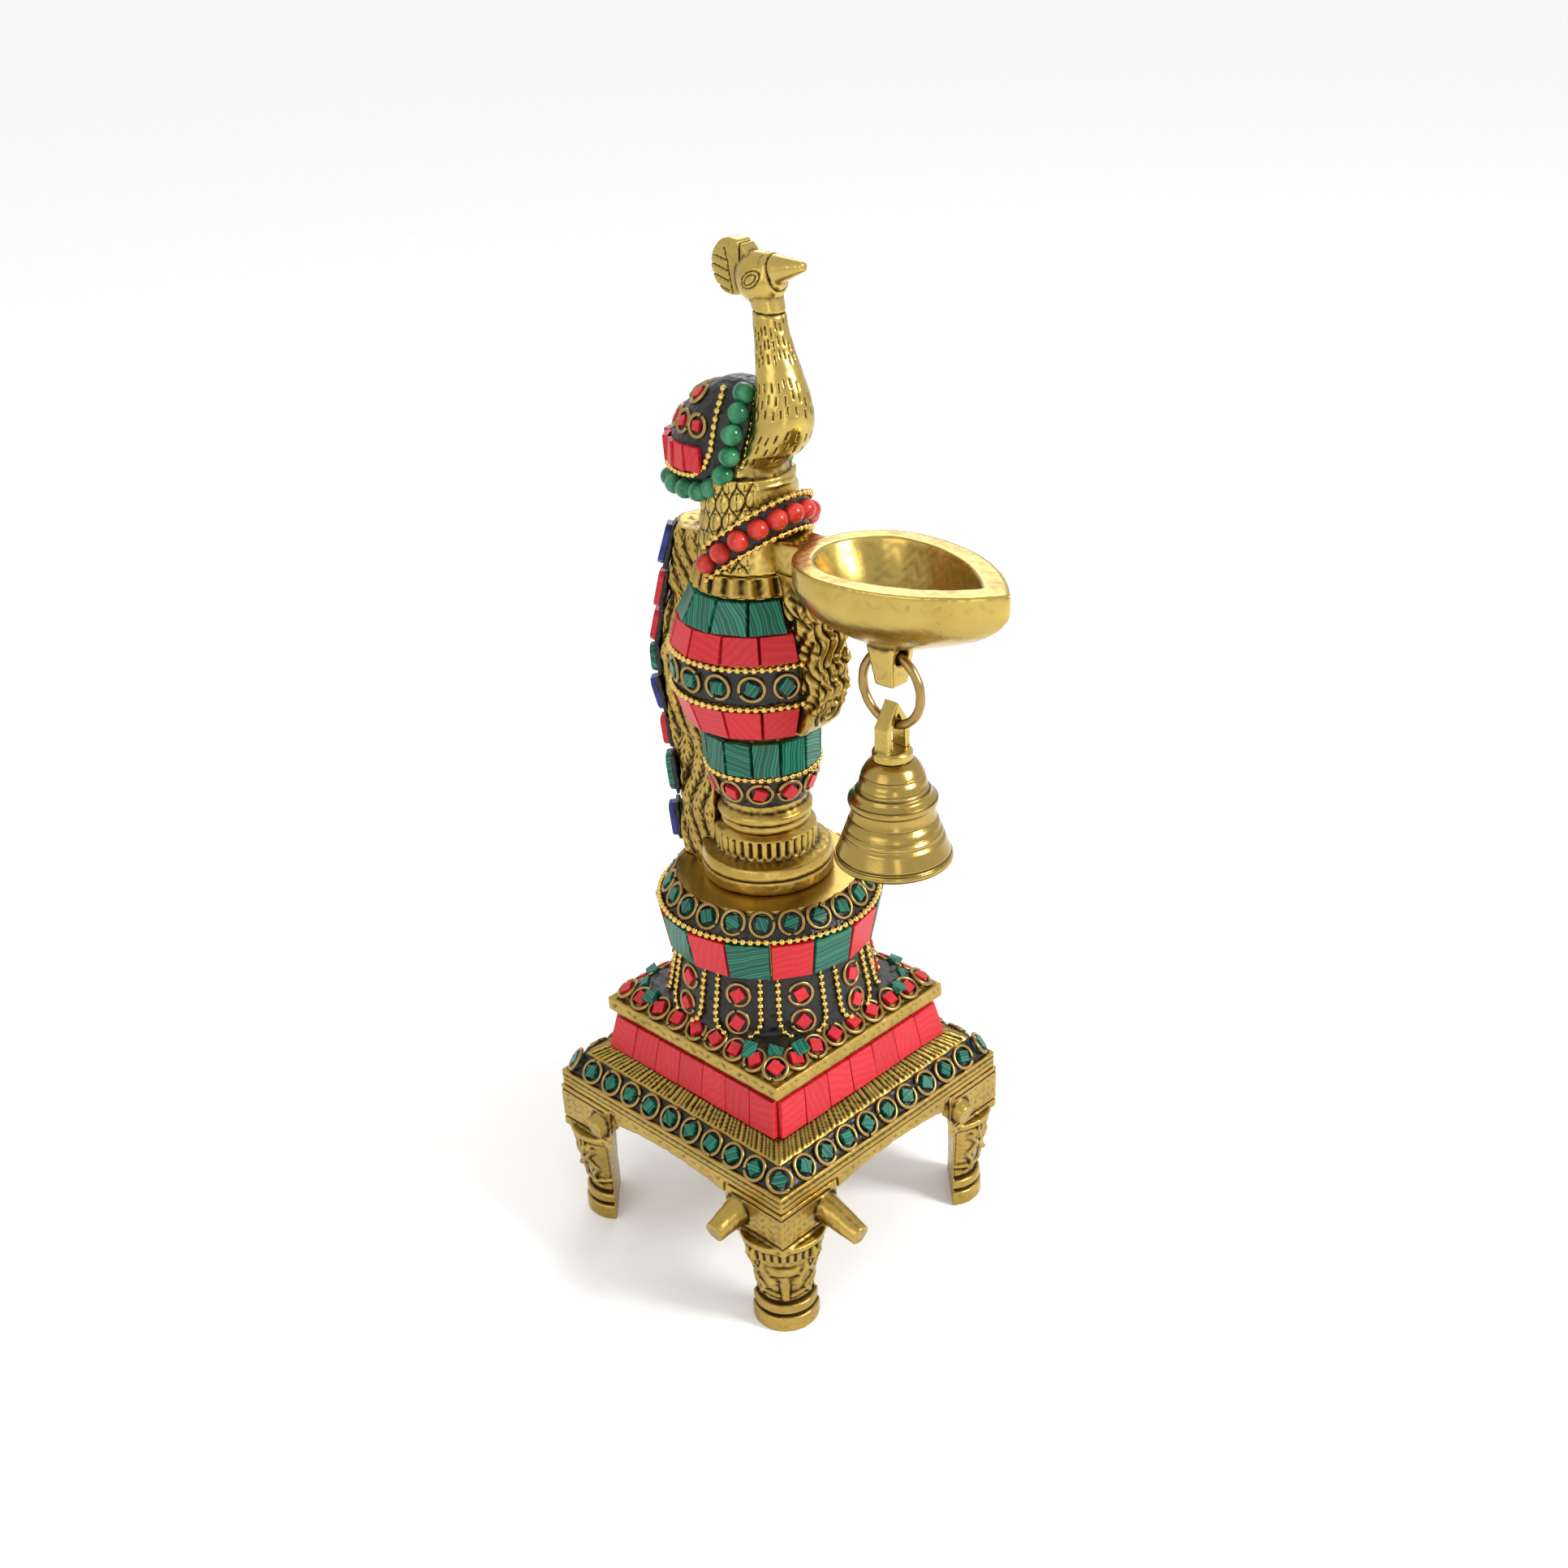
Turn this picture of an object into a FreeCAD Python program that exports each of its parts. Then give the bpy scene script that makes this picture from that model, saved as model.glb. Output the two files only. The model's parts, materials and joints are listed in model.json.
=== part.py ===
"""Brass standing oil lamp with a peacock, a diya bowl and a hanging bell.

Millimetres, +Z up. The origin is the centre of the stool on the table. The stool's sides lie along
X and Y, and the peacock and its bowl face +X.
"""
import FreeCAD, Part
import math
import os
import re

import Sketcher

VECTOR = FreeCAD.Vector
ROTATION = FreeCAD.Rotation
PLACEMENT = FreeCAD.Placement
AXIS_X = VECTOR(1, 0, 0)
AXIS_Y = VECTOR(0, 1, 0)
AXIS_Z = VECTOR(0, 0, 1)

# Driving dimensions, in millimetres and degrees. Names ending in _z are heights above the table.
SIZES = {
    # stool plate: lip, sloped ring band, fluted slope and hollow underside
    "stool_half": 44.5, "stool_low_z": 43.2, "stool_high_z": 48.4,
    "band_outer_half": 43.0, "band_inner_half": 38.9, "band_inner_z": 54.0,
    "seat_half": 34.8, "seat_z": 56.4, "cavity_half": 39.6, "cavity_z": 49.4,
    "apron_half": 22.6, "apron_low_z": 39.4, "apron_mid_z": 41.6, "apron_wall": 2.5,
    # legs, measured along the stool's diagonal
    "leg_flat": 49.9, "bracket_corner": 63.4, "bracket_flat": 48.4, "bracket_low_z": 29.0,
    "foot_radius": 9.2, "foot_high_z": 4.4, "toe_radius": 8.2, "ankle_radius": 8.8,
    "ankle_low_z": 5.2, "ankle_high_z": 8.2, "waist_radius": 8.1, "waist_leg_z": 12.5,
    "knee_radius": 11.2, "knee_z": 25.0, "thigh_radius": 12.2,
    "tusk_root_radius": 4.4, "tusk_tip_radius": 2.9, "tusk_drop": 14.0, "tusk_z": 37.6,
    "tusk_long": 13.0, "tusk_short": 9.5, "tusk_stub": 2.6, "tusk_inset": 1.6,
    # wire rings and the chips set in them, and the resin they are pressed into
    "ring_radius": 3.3, "wire_radius": 0.55, "chip_half": 1.25, "chip_tall": 1.7,
    "resin_thick": 0.9, "bead_radius": 0.95, "tile_thick": 1.6, "tile_gap": 0.16,
    "stool_ring_half": 41.2, "stool_ring_z": 51.6, "stool_ring_tilt": 38.0,
    "stool_ring_pitch": 8.2, "stool_ring_count": 9,
    # plinth between the stool and the lotus plate
    "plinth_low_half": 34.7, "plinth_high_half": 32.8, "plinth_tile_low_z": 56.6,
    "plinth_tile_high_z": 66.6, "plinth_neck_half": 30.6, "plinth_tile_count": 7,
    # lotus plate: square rim, sloped ring band and steep petal wall
    "rim_half": 33.6, "rim_low_z": 68.4, "rim_high_z": 72.6, "slope_outer_half": 32.4,
    "slope_inner_half": 26.6, "slope_inner_z": 76.4, "petal_low_radius": 28.4,
    "petal_low_z": 75.4, "petal_high_radius": 25.0, "petal_high_z": 94.0,
    "plate_ring_half": 30.2, "plate_ring_z": 75.1, "plate_ring_tilt": 57.0,
    "plate_ring_pitch": 7.5, "plate_ring_count": 7, "petal_count": 10,
    "petal_low_ring_z": 80.2, "petal_high_ring_z": 88.0, "petal_half_angle": 13.0,
    # drum with its tiles and ring band
    "drum_low_z": 94.0, "drum_tile_low_z": 94.8, "drum_tile_low_radius": 28.9,
    "drum_tile_high_z": 106.0, "drum_tile_high_radius": 31.0, "drum_chain_radius": 30.0,
    "drum_chain_z": 107.0, "drum_edge_radius": 25.2, "drum_top_z": 113.5,
    "drum_rest_radius": 25.9, "drum_rest_z": 112.4, "drum_tile_pairs": 8, "drum_ring_count": 22,
    "drum_ring_radius": 27.2, "drum_ring_z": 110.7, "drum_ring_tilt": 36.0,
    # bores: a wide core and the tie rod that holds the stack together
    "core_bore": 13.5, "rod_radius": 3.0, "rod_bore": 3.2, "rod_low_z": 43.0, "rod_high_z": 208.0,
    "nut_across": 9.0, "nut_low_z": 44.0, "nut_high_z": 48.0, "washer_radius": 7.5,
    # column foot
    "foot_disc_radius": 18.0, "foot_disc_z": 119.0, "foot_step_radius": 17.4,
    "foot_step_z": 121.0, "flute_low_radius": 14.2, "flute_radius": 13.7, "flute_low_z": 122.4,
    "flute_high_z": 127.6, "foot_neck_radius": 11.6, "foot_high_end_z": 128.8,
    # vase: outline of the bare casting, band by band
    "vase_ring_radius": 12.2, "vase_ring_low_z": 129.6, "vase_ring_high_z": 130.9,
    "lip_radius": 12.9, "lip_low_z": 132.0, "lip_high_z": 133.6, "vase_neck_radius": 11.4,
    "vase_neck_z": 135.0, "neck_band_low_radius": 11.6, "neck_band_low_z": 137.4,
    "neck_band_high_radius": 14.0, "neck_band_high_z": 146.4,
    "neck_tile_low_z": 147.8, "neck_tile_low_radius": 15.6, "neck_tile_high_z": 157.2,
    "neck_tile_high_radius": 15.9, "vase_gap_radius": 14.6, "vase_gap_z": 158.8,
    "belly_tile_low_z": 160.6, "belly_tile_low_radius": 19.4, "belly_tile_high_z": 169.3,
    "belly_tile_high_radius": 22.3, "belly_band_low_z": 171.0, "belly_band_high_z": 180.9,
    "belly_band_radius": 22.0, "belly_core_radius": 21.2,
    "shoulder_tile_low_z": 182.0, "shoulder_tile_low_radius": 22.4,
    "shoulder_tile_high_z": 188.8, "shoulder_tile_high_radius": 20.2,
    "upper_tile_low_z": 189.2, "upper_tile_low_radius": 20.0, "upper_tile_high_z": 196.4,
    "upper_tile_high_radius": 16.2, "collar_low_radius": 16.2, "collar_low_z": 197.0,
    "collar_high_radius": 14.6, "vase_top_z": 202.4, "vase_low_bore": 9.0,
    "vase_wide_bore": 13.4, "bore_widen_z": 162.0, "bore_narrow_z": 186.0, "bore_end_z": 197.0,
    "neck_ring_z": 142.2, "neck_ring_radius": 13.7, "neck_ring_tilt": -15.0,
    "neck_chain_radius": 15.4, "belly_low_chain_radius": 23.0, "belly_high_chain_radius": 23.0,
    "belly_ring_z": 175.9, "belly_ring_radius": 22.7,
    "front_gap": 5.8, "back_gap": 10.6,
    # front bracket, under the bowl
    "bracket_width": 10.6, "bracket_top_z": 211.0, "bracket_reach": 24.2,
    "bracket_bulge": 27.6, "bracket_bulge_z": 178.0, "bracket_foot": 19.6, "bracket_foot_z": 160.0,
    # peacock
    "body_x": -7.0, "body_z": 232.0, "body_long": 18.5, "body_short": 12.8, "body_side": 12.2,
    "body_tilt": 45.0, "hip_low_radius": 14.0, "hip_high_radius": 11.4, "hip_z": 226.0,
    "head_x": 7.4, "head_z": 273.2, "head_long": 7.0, "head_tall": 6.3, "head_side": 5.3,
    "beak_root_x": 10.8, "beak_root_z": 275.4, "beak_root_radius": 4.1, "beak_tip_radius": 1.1,
    "beak_length": 10.8, "beak_lift": 10.0, "crest_x": -0.6, "crest_z": 275.2,
    "crest_radius": 6.7, "crest_width": 4.6,
    "shell_offset": 1.0, "shell_front_x": 9.5, "shell_low_z": 217.4, "cabochon_radius": 2.75,
    "back_tile_width": 4.6, "back_tile_tall": 6.4, "back_ring_radius": 2.7,
    # collar of coral cabochons across the breast
    "collar_mid_z": 206.0, "collar_rise": 11.5, "collar_radius": 14.6, "collar_width": 8.4,
    "collar_stone_radius": 14.9, "collar_reach": 96.0, "collar_stone_count": 11,
    # tail plume down the back
    "tail_width": 20.0, "slab_thick": 1.7, "setting_thick": 1.3,
    # bowl
    "bowl_x": 41.6, "bowl_radius": 20.0, "bowl_tip_x": 81.8, "bowl_rim_z": 212.0,
    "bowl_wall_z": 206.6, "bowl_low_z": 191.6, "bowl_floor_z": 196.6, "rim_width": 5.2,
    "arm_width": 11.0, "arm_low_z": 203.0, "arm_root_x": 10.0,
    # lug, hanging ring and bell, all about one vertical line below the bowl
    "bell_x": 46.0, "lug_high_x": 5.2, "lug_high_y": 4.5, "lug_mid_x": 3.75, "lug_mid_y": 4.3,
    "lug_low_x": 2.9, "lug_low_y": 3.0, "lug_root_z": 195.0, "lug_mid_z": 188.6,
    "lug_low_z": 180.6, "lug_hole_radius": 2.4, "hang_radius": 9.3, "hang_wire": 1.22,
    "hanger_apex_z": 176.2, "hanger_inner_apex_z": 173.2, "hanger_shoulder_z": 169.6,
    "hanger_inner_shoulder_z": 168.9, "hanger_half": 4.2, "hanger_inner_half": 2.4,
    "hanger_depth": 4.4, "hanger_base_z": 163.4,
    "hanger_flange_radius": 5.2, "stem_radius": 1.6, "stem_low_z": 156.4,
    "bell_rim_z": 132.8, "bell_rim_radius": 15.25, "bell_lip_z": 134.2,
    "bell_skirt_z": 141.0, "bell_skirt_radius": 12.9, "bell_waist_z": 147.6,
    "bell_waist_radius": 10.7, "bell_ridge_z": 149.6, "bell_ridge_radius": 11.3,
    "bell_neck_z": 151.8, "bell_neck_radius": 9.6, "bell_crown_z": 157.4,
    "bell_crown_radius": 7.8, "bell_high_z": 160.6, "bell_high_radius": 5.0,
    "bell_wall": 1.7, "bell_ceiling_z": 157.6,
    # clapper and the staple it hangs from
    "staple_radius": 2.3, "staple_wire": 0.5, "staple_z": 154.8, "clapper_eye_z": 151.5,
    "clapper_rod": 0.8, "clapper_rod_low_z": 139.0, "clapper_ball": 3.0, "clapper_ball_z": 137.6,
}

os.makedirs("parts", exist_ok=True)
doc = FreeCAD.newDocument("oil_lamp")
sheet = doc.addObject("Spreadsheet::Sheet", "Sizes")
for row, (alias, value) in enumerate(SIZES.items(), start=1):
    sheet.set("A%d" % row, alias)
    sheet.set("B%d" % row, str(value))
    sheet.setAlias("B%d" % row, alias)
doc.recompute()

subparts = []


# ---------------------------------------------------------------- helpers

def linked(expression):
    """Return an expression in which every sheet name points at the sheet."""
    def point(match):
        word = match.group(0)
        return "Sizes." + word if word in SIZES else word
    return re.sub(r"[a-z_]+", point, str(expression))


def value_of(expression):
    """Return what an expression over the sheet comes to, as a number."""
    return float(sheet.evalExpression(linked(expression)))


def bind(item, **settings):
    """Bind properties of an object to expressions over the sheet."""
    for name, expression in settings.items():
        item.setExpression(name, linked(expression))


def keep(item, label):
    """Name a finished sub-part, which is then exported under that label."""
    item.Label = label
    subparts.append(item)
    return item


def new_body(name):
    body = doc.addObject("PartDesign::Body", name)
    body.AllowCompound = True
    return body


def origin_feature(body, role):
    for feature in body.Origin.OriginFeatures:
        if feature.Role == role:
            return feature
    raise ValueError(role)


def new_sketch(body, name, plane, lift="0", turn=0.0, about=AXIS_Z):
    """Attach a sketch to one of the body's origin planes, lifted off it and turned about an axis."""
    sketch = body.newObject("Sketcher::SketchObject", name)
    sketch.AttachmentSupport = [(origin_feature(body, plane), "")]
    sketch.MapMode = "FlatFace"
    sketch.AttachmentOffset = PLACEMENT(VECTOR(), ROTATION(about, turn))
    sketch.setExpression("AttachmentOffset.Base.z", linked(lift))
    return sketch


def pin(sketch, geometry, vertex, point):
    """Hold a sketch vertex at a pair of expressions, measured from the sketch origin."""
    for kind, expression in zip(("DistanceX", "DistanceY"), point):
        place = Sketcher.Constraint(kind, -1, 1, geometry, vertex, value_of(expression))
        index = sketch.addConstraint(place)
        sketch.setExpression("Constraints[%d]" % index, linked(expression))


def flat(point):
    return VECTOR(value_of(point[0]), value_of(point[1]), 0)


def polygon(sketch, points):
    """Draw a closed outline through points given as pairs of expressions."""
    count = len(points)
    for index in range(count):
        start = flat(points[index])
        end = flat(points[(index + 1) % count])
        sketch.addGeometry(Part.LineSegment(start, end), False)
    for index in range(count):
        following = (index + 1) % count
        sketch.addConstraint(Sketcher.Constraint("Coincident", index, 2, following, 1))
    for index in range(count):
        pin(sketch, index, 1, points[index])
    return sketch


def rectangle(sketch, low_x, low_y, high_x, high_y):
    corners = [(low_x, low_y), (high_x, low_y), (high_x, high_y), (low_x, high_y)]
    return polygon(sketch, corners)


def square(sketch, half):
    return rectangle(sketch, "-(%s)" % half, "-(%s)" % half, half, half)


def circle(sketch, point, radius):
    index = sketch.addGeometry(Part.Circle(flat(point), AXIS_Z, value_of(radius)), False)
    pin(sketch, index, 3, point)
    held = sketch.addConstraint(Sketcher.Constraint("Radius", index, value_of(radius)))
    sketch.setExpression("Constraints[%d]" % held, linked(radius))
    return sketch


def pad(body, name, sketch, length, both_ways=False):
    feature = body.newObject("PartDesign::Pad", name)
    feature.Profile = sketch
    if both_ways:
        feature.SideType = "Symmetric"
    bind(feature, Length=length)
    return feature


def pocket(body, name, sketch, length, both_ways=False, backwards=False):
    """Cut a sketch into the body, and make sure that it takes material away."""
    doc.recompute()
    before = body.Shape.Volume
    feature = body.newObject("PartDesign::Pocket", name)
    feature.Profile = sketch
    if both_ways:
        feature.SideType = "Symmetric"
    feature.Reversed = backwards
    bind(feature, Length=length)
    doc.recompute()
    if body.Shape.Volume >= before - 0.01:
        raise ValueError("%s cuts nothing" % name)
    return feature


def loft(body, name, sketches, cut=False):
    kind = "PartDesign::SubtractiveLoft" if cut else "PartDesign::AdditiveLoft"
    feature = body.newObject(kind, name)
    feature.Profile = sketches[0]
    feature.Sections = sketches[1:]
    return feature


def square_loft(body, name, low_half, low_z, high_half, high_z, cut=False):
    low = square(new_sketch(body, name + "_low", "XY_Plane", low_z), low_half)
    high = square(new_sketch(body, name + "_high", "XY_Plane", high_z), high_half)
    feature = loft(body, name, [low, high], cut)
    feature.Ruled = True
    return feature


def revolution(body, name, sketch, axis="V_Axis", angle=360.0):
    feature = body.newObject("PartDesign::Revolution", name)
    feature.Profile = sketch
    feature.ReferenceAxis = (sketch, [axis])
    feature.Angle = angle
    return feature


def turned(label, points, shift=None):
    """Make a piece turned about the vertical, from its outline in radius and height."""
    body = new_body(label)
    sketch = polygon(new_sketch(body, label + "_outline", "XZ_Plane"), points)
    revolution(body, label + "_turned", sketch)
    if shift:
        bind(body, **{"Placement.Base.x": shift})
    return body


def around(body, name, feature, count, span=360.0):
    """Repeat a feature about the vertical; a span under 360 reaches from the first to the last."""
    pattern = body.newObject("PartDesign::PolarPattern", name)
    pattern.Originals = [feature]
    pattern.Axis = (origin_feature(body, "Z_Axis"), [""])
    pattern.Angle = span
    pattern.Occurrences = count
    body.Tip = pattern
    return pattern


def along_sides(body, name, feature, count, length):
    """Repeat a feature along one side of a square, and that row round the four sides."""
    row = doc.addObject("PartDesign::LinearPattern", name + "_row")
    row.Direction = (origin_feature(body, "Y_Axis"), [""])
    row.Length = length
    row.Occurrences = count
    sides = doc.addObject("PartDesign::PolarPattern", name + "_sides")
    sides.Axis = (origin_feature(body, "Z_Axis"), [""])
    sides.Angle = 360
    sides.Occurrences = 4
    pattern = body.newObject("PartDesign::MultiTransform", name)
    pattern.Originals = [feature]
    pattern.Transformations = [row, sides]
    body.Tip = pattern
    return pattern


def cut(label, base, *tools):
    """Take the tools away from the base; the result fits them face to face."""
    result = base
    for number, tool in enumerate(tools):
        piece = doc.addObject("Part::Cut", "%s_cut_%d" % (label, number))
        piece.Base = result
        piece.Tool = tool
        result = piece
    return result


def fuse(name, pieces):
    whole = doc.addObject("Part::MultiFuse", name)
    whole.Shapes = pieces
    return whole


def group(name, pieces):
    whole = doc.addObject("Part::Compound", name)
    whole.Links = pieces
    return whole


# ---------------------------------------------------------------- repeated trim

def ring_profile(body, name, radius, height, tilt, lift="0", turn=0.0):
    """Draw a wire ring's section and the axis through its middle, which is tilted up by tilt."""
    sketch = new_sketch(body, name, "XZ_Plane", lift, turn, AXIS_Y)
    wire = ("%s - ring_radius * sin(%s)" % (radius, tilt),
            "%s + ring_radius * cos(%s)" % (height, tilt))
    circle(sketch, wire, "wire_radius")
    middle = (radius, height)
    outside = ("%s + cos(%s)" % (radius, tilt), "%s + sin(%s)" % (height, tilt))
    axis = sketch.addGeometry(Part.LineSegment(flat(middle), flat(outside)), True)
    pin(sketch, axis, 1, middle)
    pin(sketch, axis, 2, outside)
    return sketch


def ring_feature(body, name, radius, height, tilt, lift="0", turn=0.0):
    sketch = ring_profile(body, name + "_wire", radius, height, tilt, lift, turn)
    return revolution(body, name, sketch, "Axis0")


def chip_feature(body, name, radius, height, tilt, lift="0", turn=0.0):
    """Make one chip inside a ring: a small block standing out along the tilted axis."""
    sketch = new_sketch(body, name + "_side", "XZ_Plane", lift, turn, AXIS_Y)
    corners = []
    for out, up in ((-0.5, -1), (0.5, -1), (0.5, 1), (-0.5, 1)):
        corner_x = "%s + %s * chip_tall * cos(%s) - %s * chip_half * sin(%s)"
        corner_z = "%s + %s * chip_tall * sin(%s) + %s * chip_half * cos(%s)"
        corners.append((corner_x % (radius, out, tilt, up, tilt),
                        corner_z % (height, out, tilt, up, tilt)))
    polygon(sketch, corners)
    return pad(body, name, sketch, "2 * chip_half", both_ways=True)


def tile_feature(body, name, low, high, width_low, width_high, turn):
    """Make one flat tile between two (radius, height) pairs, facing outwards at an angle."""
    sketches = []
    for place, (radius, height), width in (("low", low, width_low), ("high", high, width_high)):
        sketch = new_sketch(body, "%s_%s" % (name, place), "XY_Plane", height, turn)
        half = "(%s) / 2" % width
        rectangle(sketch, "%s - tile_thick" % radius, "-" + half, radius, half)
        sketches.append(sketch)
    feature = loft(body, name, sketches)
    feature.Ruled = True
    return feature


def side_arcs(radius, ideal_width, gap="front_gap"):
    """Split both sides between the front and back gaps into equal steps near the ideal width."""
    reach = value_of(radius)
    front = math.degrees(math.asin(value_of(gap) / reach))
    back = math.degrees(math.asin(value_of("back_gap") / reach))
    available = 180.0 - front - back
    count = max(1, round(math.radians(available) * reach / ideal_width))
    step = available / count
    starts = (front + step / 2, back + 180.0 + step / 2)
    return count, step, starts


def vase_tiles(label, low_radius, low_z, high_radius, high_z, ideal_width, gap="front_gap"):
    body = new_body(label)
    count, step, starts = side_arcs("min(%s; %s)" % (low_radius, high_radius), ideal_width, gap)
    spread = 2 * math.tan(math.radians(step) / 2)
    low_width = "(%s - tile_thick) * %.6f - tile_gap" % (low_radius, spread)
    high_width = "(%s - tile_thick) * %.6f - tile_gap" % (high_radius, spread)
    for side, start in enumerate(starts):
        name = "%s_tile_%d" % (label, side)
        low = (low_radius, low_z)
        high = (high_radius, high_z)
        tile = tile_feature(body, name, low, high, low_width, high_width, start)
        around(body, name + "_row", tile, count, step * (count - 1))
    return keep(body, label)


def vase_rings(ring_label, chip_label, radius, height, tilt, ideal_pitch, gap="front_gap"):
    count, step, starts = side_arcs(radius, ideal_pitch, gap)
    rings = new_body(ring_label)
    chips = new_body(chip_label)
    for side, start in enumerate(starts):
        name = "%s_%d" % (ring_label, side)
        ring = ring_feature(rings, name, radius, height, tilt, turn=start)
        around(rings, name + "_row", ring, count, step * (count - 1))
        name = "%s_%d" % (chip_label, side)
        chip = chip_feature(chips, name, radius, height, tilt, turn=start)
        around(chips, name + "_row", chip, count, step * (count - 1))
    keep(rings, ring_label)
    keep(chips, chip_label)


def square_rings(rings, chips, name, half, height, tilt, pitch, count):
    """Set rings and chips along the four sides of a square, with one more at each corner."""
    number = int(value_of(count))
    length = value_of(pitch) * (number - 1)
    lift = "%s * (%s - 1) / 2" % (pitch, count)
    corner = "(%s) * sqrt(2) - 1.2" % half
    for body, feature, kind in ((rings, ring_feature, "ring"), (chips, chip_feature, "chip")):
        first = feature(body, "%s_%s" % (name, kind), half, height, tilt, lift)
        along_sides(body, "%s_%s_rows" % (name, kind), first, number, length)
        at_corner = feature(body, "%s_%s_corner" % (name, kind), corner, height, tilt, turn=45.0)
        around(body, "%s_%s_corners" % (name, kind), at_corner, 4)


def chain(name, radius, height):
    """Make a bead chain's envelope: a ring as thick as its beads."""
    torus = doc.addObject("Part::Torus", name)
    bind(torus, Radius1=radius, Radius2="bead_radius")
    bind(torus, **{"Placement.Base.z": height})
    return torus


def ball(name, centre, radius):
    sphere = doc.addObject("Part::Sphere", name)
    bind(sphere, Radius=radius)
    sphere.Placement = PLACEMENT(VECTOR(*centre), ROTATION())
    return sphere


def block(name, low, high):
    """Make a box between two corners given as triples of expressions."""
    box = doc.addObject("Part::Box", name)
    bind(box, Length="%s - (%s)" % (high[0], low[0]), Width="%s - (%s)" % (high[1], low[1]),
         Height="%s - (%s)" % (high[2], low[2]))
    bind(box, **{"Placement.Base.x": low[0], "Placement.Base.y": low[1],
                 "Placement.Base.z": low[2]})
    return box


def core_way(name, radius):
    """Make a tall round bar on the middle line, to clear what the tie rod passes through."""
    bar = doc.addObject("Part::Cylinder", name)
    bind(bar, Radius=radius, Height="rod_high_z - rod_low_z + 4")
    bind(bar, **{"Placement.Base.z": "rod_low_z"})
    return bar


def gap_blocks():
    """The strips of the vase that the front bracket and the tail plume cover."""
    front = block("front_strip", ("8", "-front_gap", "bracket_foot_z"),
                  ("60", "front_gap", "vase_top_z"))
    back = block("back_strip", ("-60", "-back_gap", "rim_low_z"), ("-8", "back_gap", "vase_top_z"))
    return fuse("covered_strips", [front, back])


# ---------------------------------------------------------------- stool

def make_stool_plate():
    body = new_body("stool_plate")
    lip = square(new_sketch(body, "lip_square", "XY_Plane", "stool_low_z"), "stool_half")
    pad(body, "lip", lip, "stool_high_z - stool_low_z")
    square_loft(body, "ring_slope", "band_outer_half", "stool_high_z",
                "band_inner_half", "band_inner_z")
    square_loft(body, "fluted_slope", "band_inner_half", "band_inner_z", "seat_half", "seat_z")
    underside = square(new_sketch(body, "underside", "XY_Plane", "stool_low_z"), "cavity_half")
    pocket(body, "cavity", underside, "cavity_z - stool_low_z", backwards=True)
    rod_hole = circle(new_sketch(body, "rod_hole", "XY_Plane", "seat_z"), ("0", "0"), "rod_bore")
    pocket(body, "rod_way", rod_hole, "seat_z - stool_low_z")
    apron = new_sketch(body, "apron_face", "YZ_Plane", "stool_half - apron_wall")
    polygon(apron, [
        ("-apron_half", "apron_low_z"), ("-apron_half / 2", "apron_mid_z - 0.6"),
        ("0", "apron_mid_z"), ("apron_half / 2", "apron_mid_z - 0.6"),
        ("apron_half", "apron_low_z"), ("apron_half", "stool_low_z"),
        ("-apron_half", "stool_low_z")])
    skirt = pad(body, "apron", apron, "apron_wall")
    around(body, "aprons", skirt, 4)
    return keep(body, "stool_plate")


def make_leg(label, turn, right_tusk, left_tusk):
    """Make one corner leg: a half-round leg under an angle bracket, with a tusk at each end."""
    body = new_body(label)
    outline = new_sketch(body, label + "_outline", "YZ_Plane", "leg_flat")
    polygon(outline, [
        ("0", "0"), ("foot_radius", "0"), ("foot_radius", "foot_high_z"),
        ("toe_radius", "ankle_low_z"), ("ankle_radius", "ankle_low_z + 0.6"),
        ("ankle_radius", "ankle_high_z"), ("waist_radius", "ankle_high_z + 0.8"),
        ("waist_radius", "waist_leg_z"), ("knee_radius", "knee_z"),
        ("thigh_radius", "bracket_low_z + 2"), ("0", "bracket_low_z + 2")])
    half_round = revolution(body, label + "_turned", outline, angle=180.0)
    half_round.Reversed = True
    bracket = new_sketch(body, label + "_bracket_plan", "XY_Plane", "bracket_low_z")
    polygon(bracket, [
        ("bracket_flat", "-(bracket_corner - bracket_flat)"), ("bracket_corner", "0"),
        ("bracket_flat", "bracket_corner - bracket_flat")])
    pad(body, label + "_bracket", bracket, "stool_low_z - bracket_low_z")
    for side, length in ((1, right_tusk), (-1, left_tusk)):
        tusk = body.newObject("PartDesign::AdditiveCone", "%s_tusk_%d" % (label, side + 1))
        bind(tusk, Radius1="tusk_root_radius", Radius2="tusk_tip_radius",
             Height="%s + tusk_inset * 2" % length)
        tusk.AttachmentSupport = [(origin_feature(body, "XY_Plane"), "")]
        tusk.MapMode = "FlatFace"
        lean = ROTATION(AXIS_Z, 45.0 * side) * ROTATION(AXIS_Y, 90.0 + value_of("tusk_drop"))
        tusk.AttachmentOffset = PLACEMENT(VECTOR(), lean)
        reach = "bracket_flat + tusk_root_radius * 0.72 - tusk_inset * 1.4"
        bind(tusk, **{
            "AttachmentOffset.Base.x": reach,
            "AttachmentOffset.Base.y": "%d * (bracket_corner - bracket_flat - 5.4)" % side,
            "AttachmentOffset.Base.z": "tusk_z"})
    body.Placement = PLACEMENT(VECTOR(), ROTATION(AXIS_Z, turn))
    return keep(body, label)


def make_square_resin(label, low_half, low_z, high_half, high_z, plate):
    """Make a resin bed of even thickness on a square slope."""
    body = new_body(label + "_blank")
    square_loft(body, label + "_slope", "%s + resin_thick * 0.8" % low_half, low_z,
                "%s + resin_thick * 0.8" % high_half, high_z)
    return cut(label, body, plate)


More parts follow.
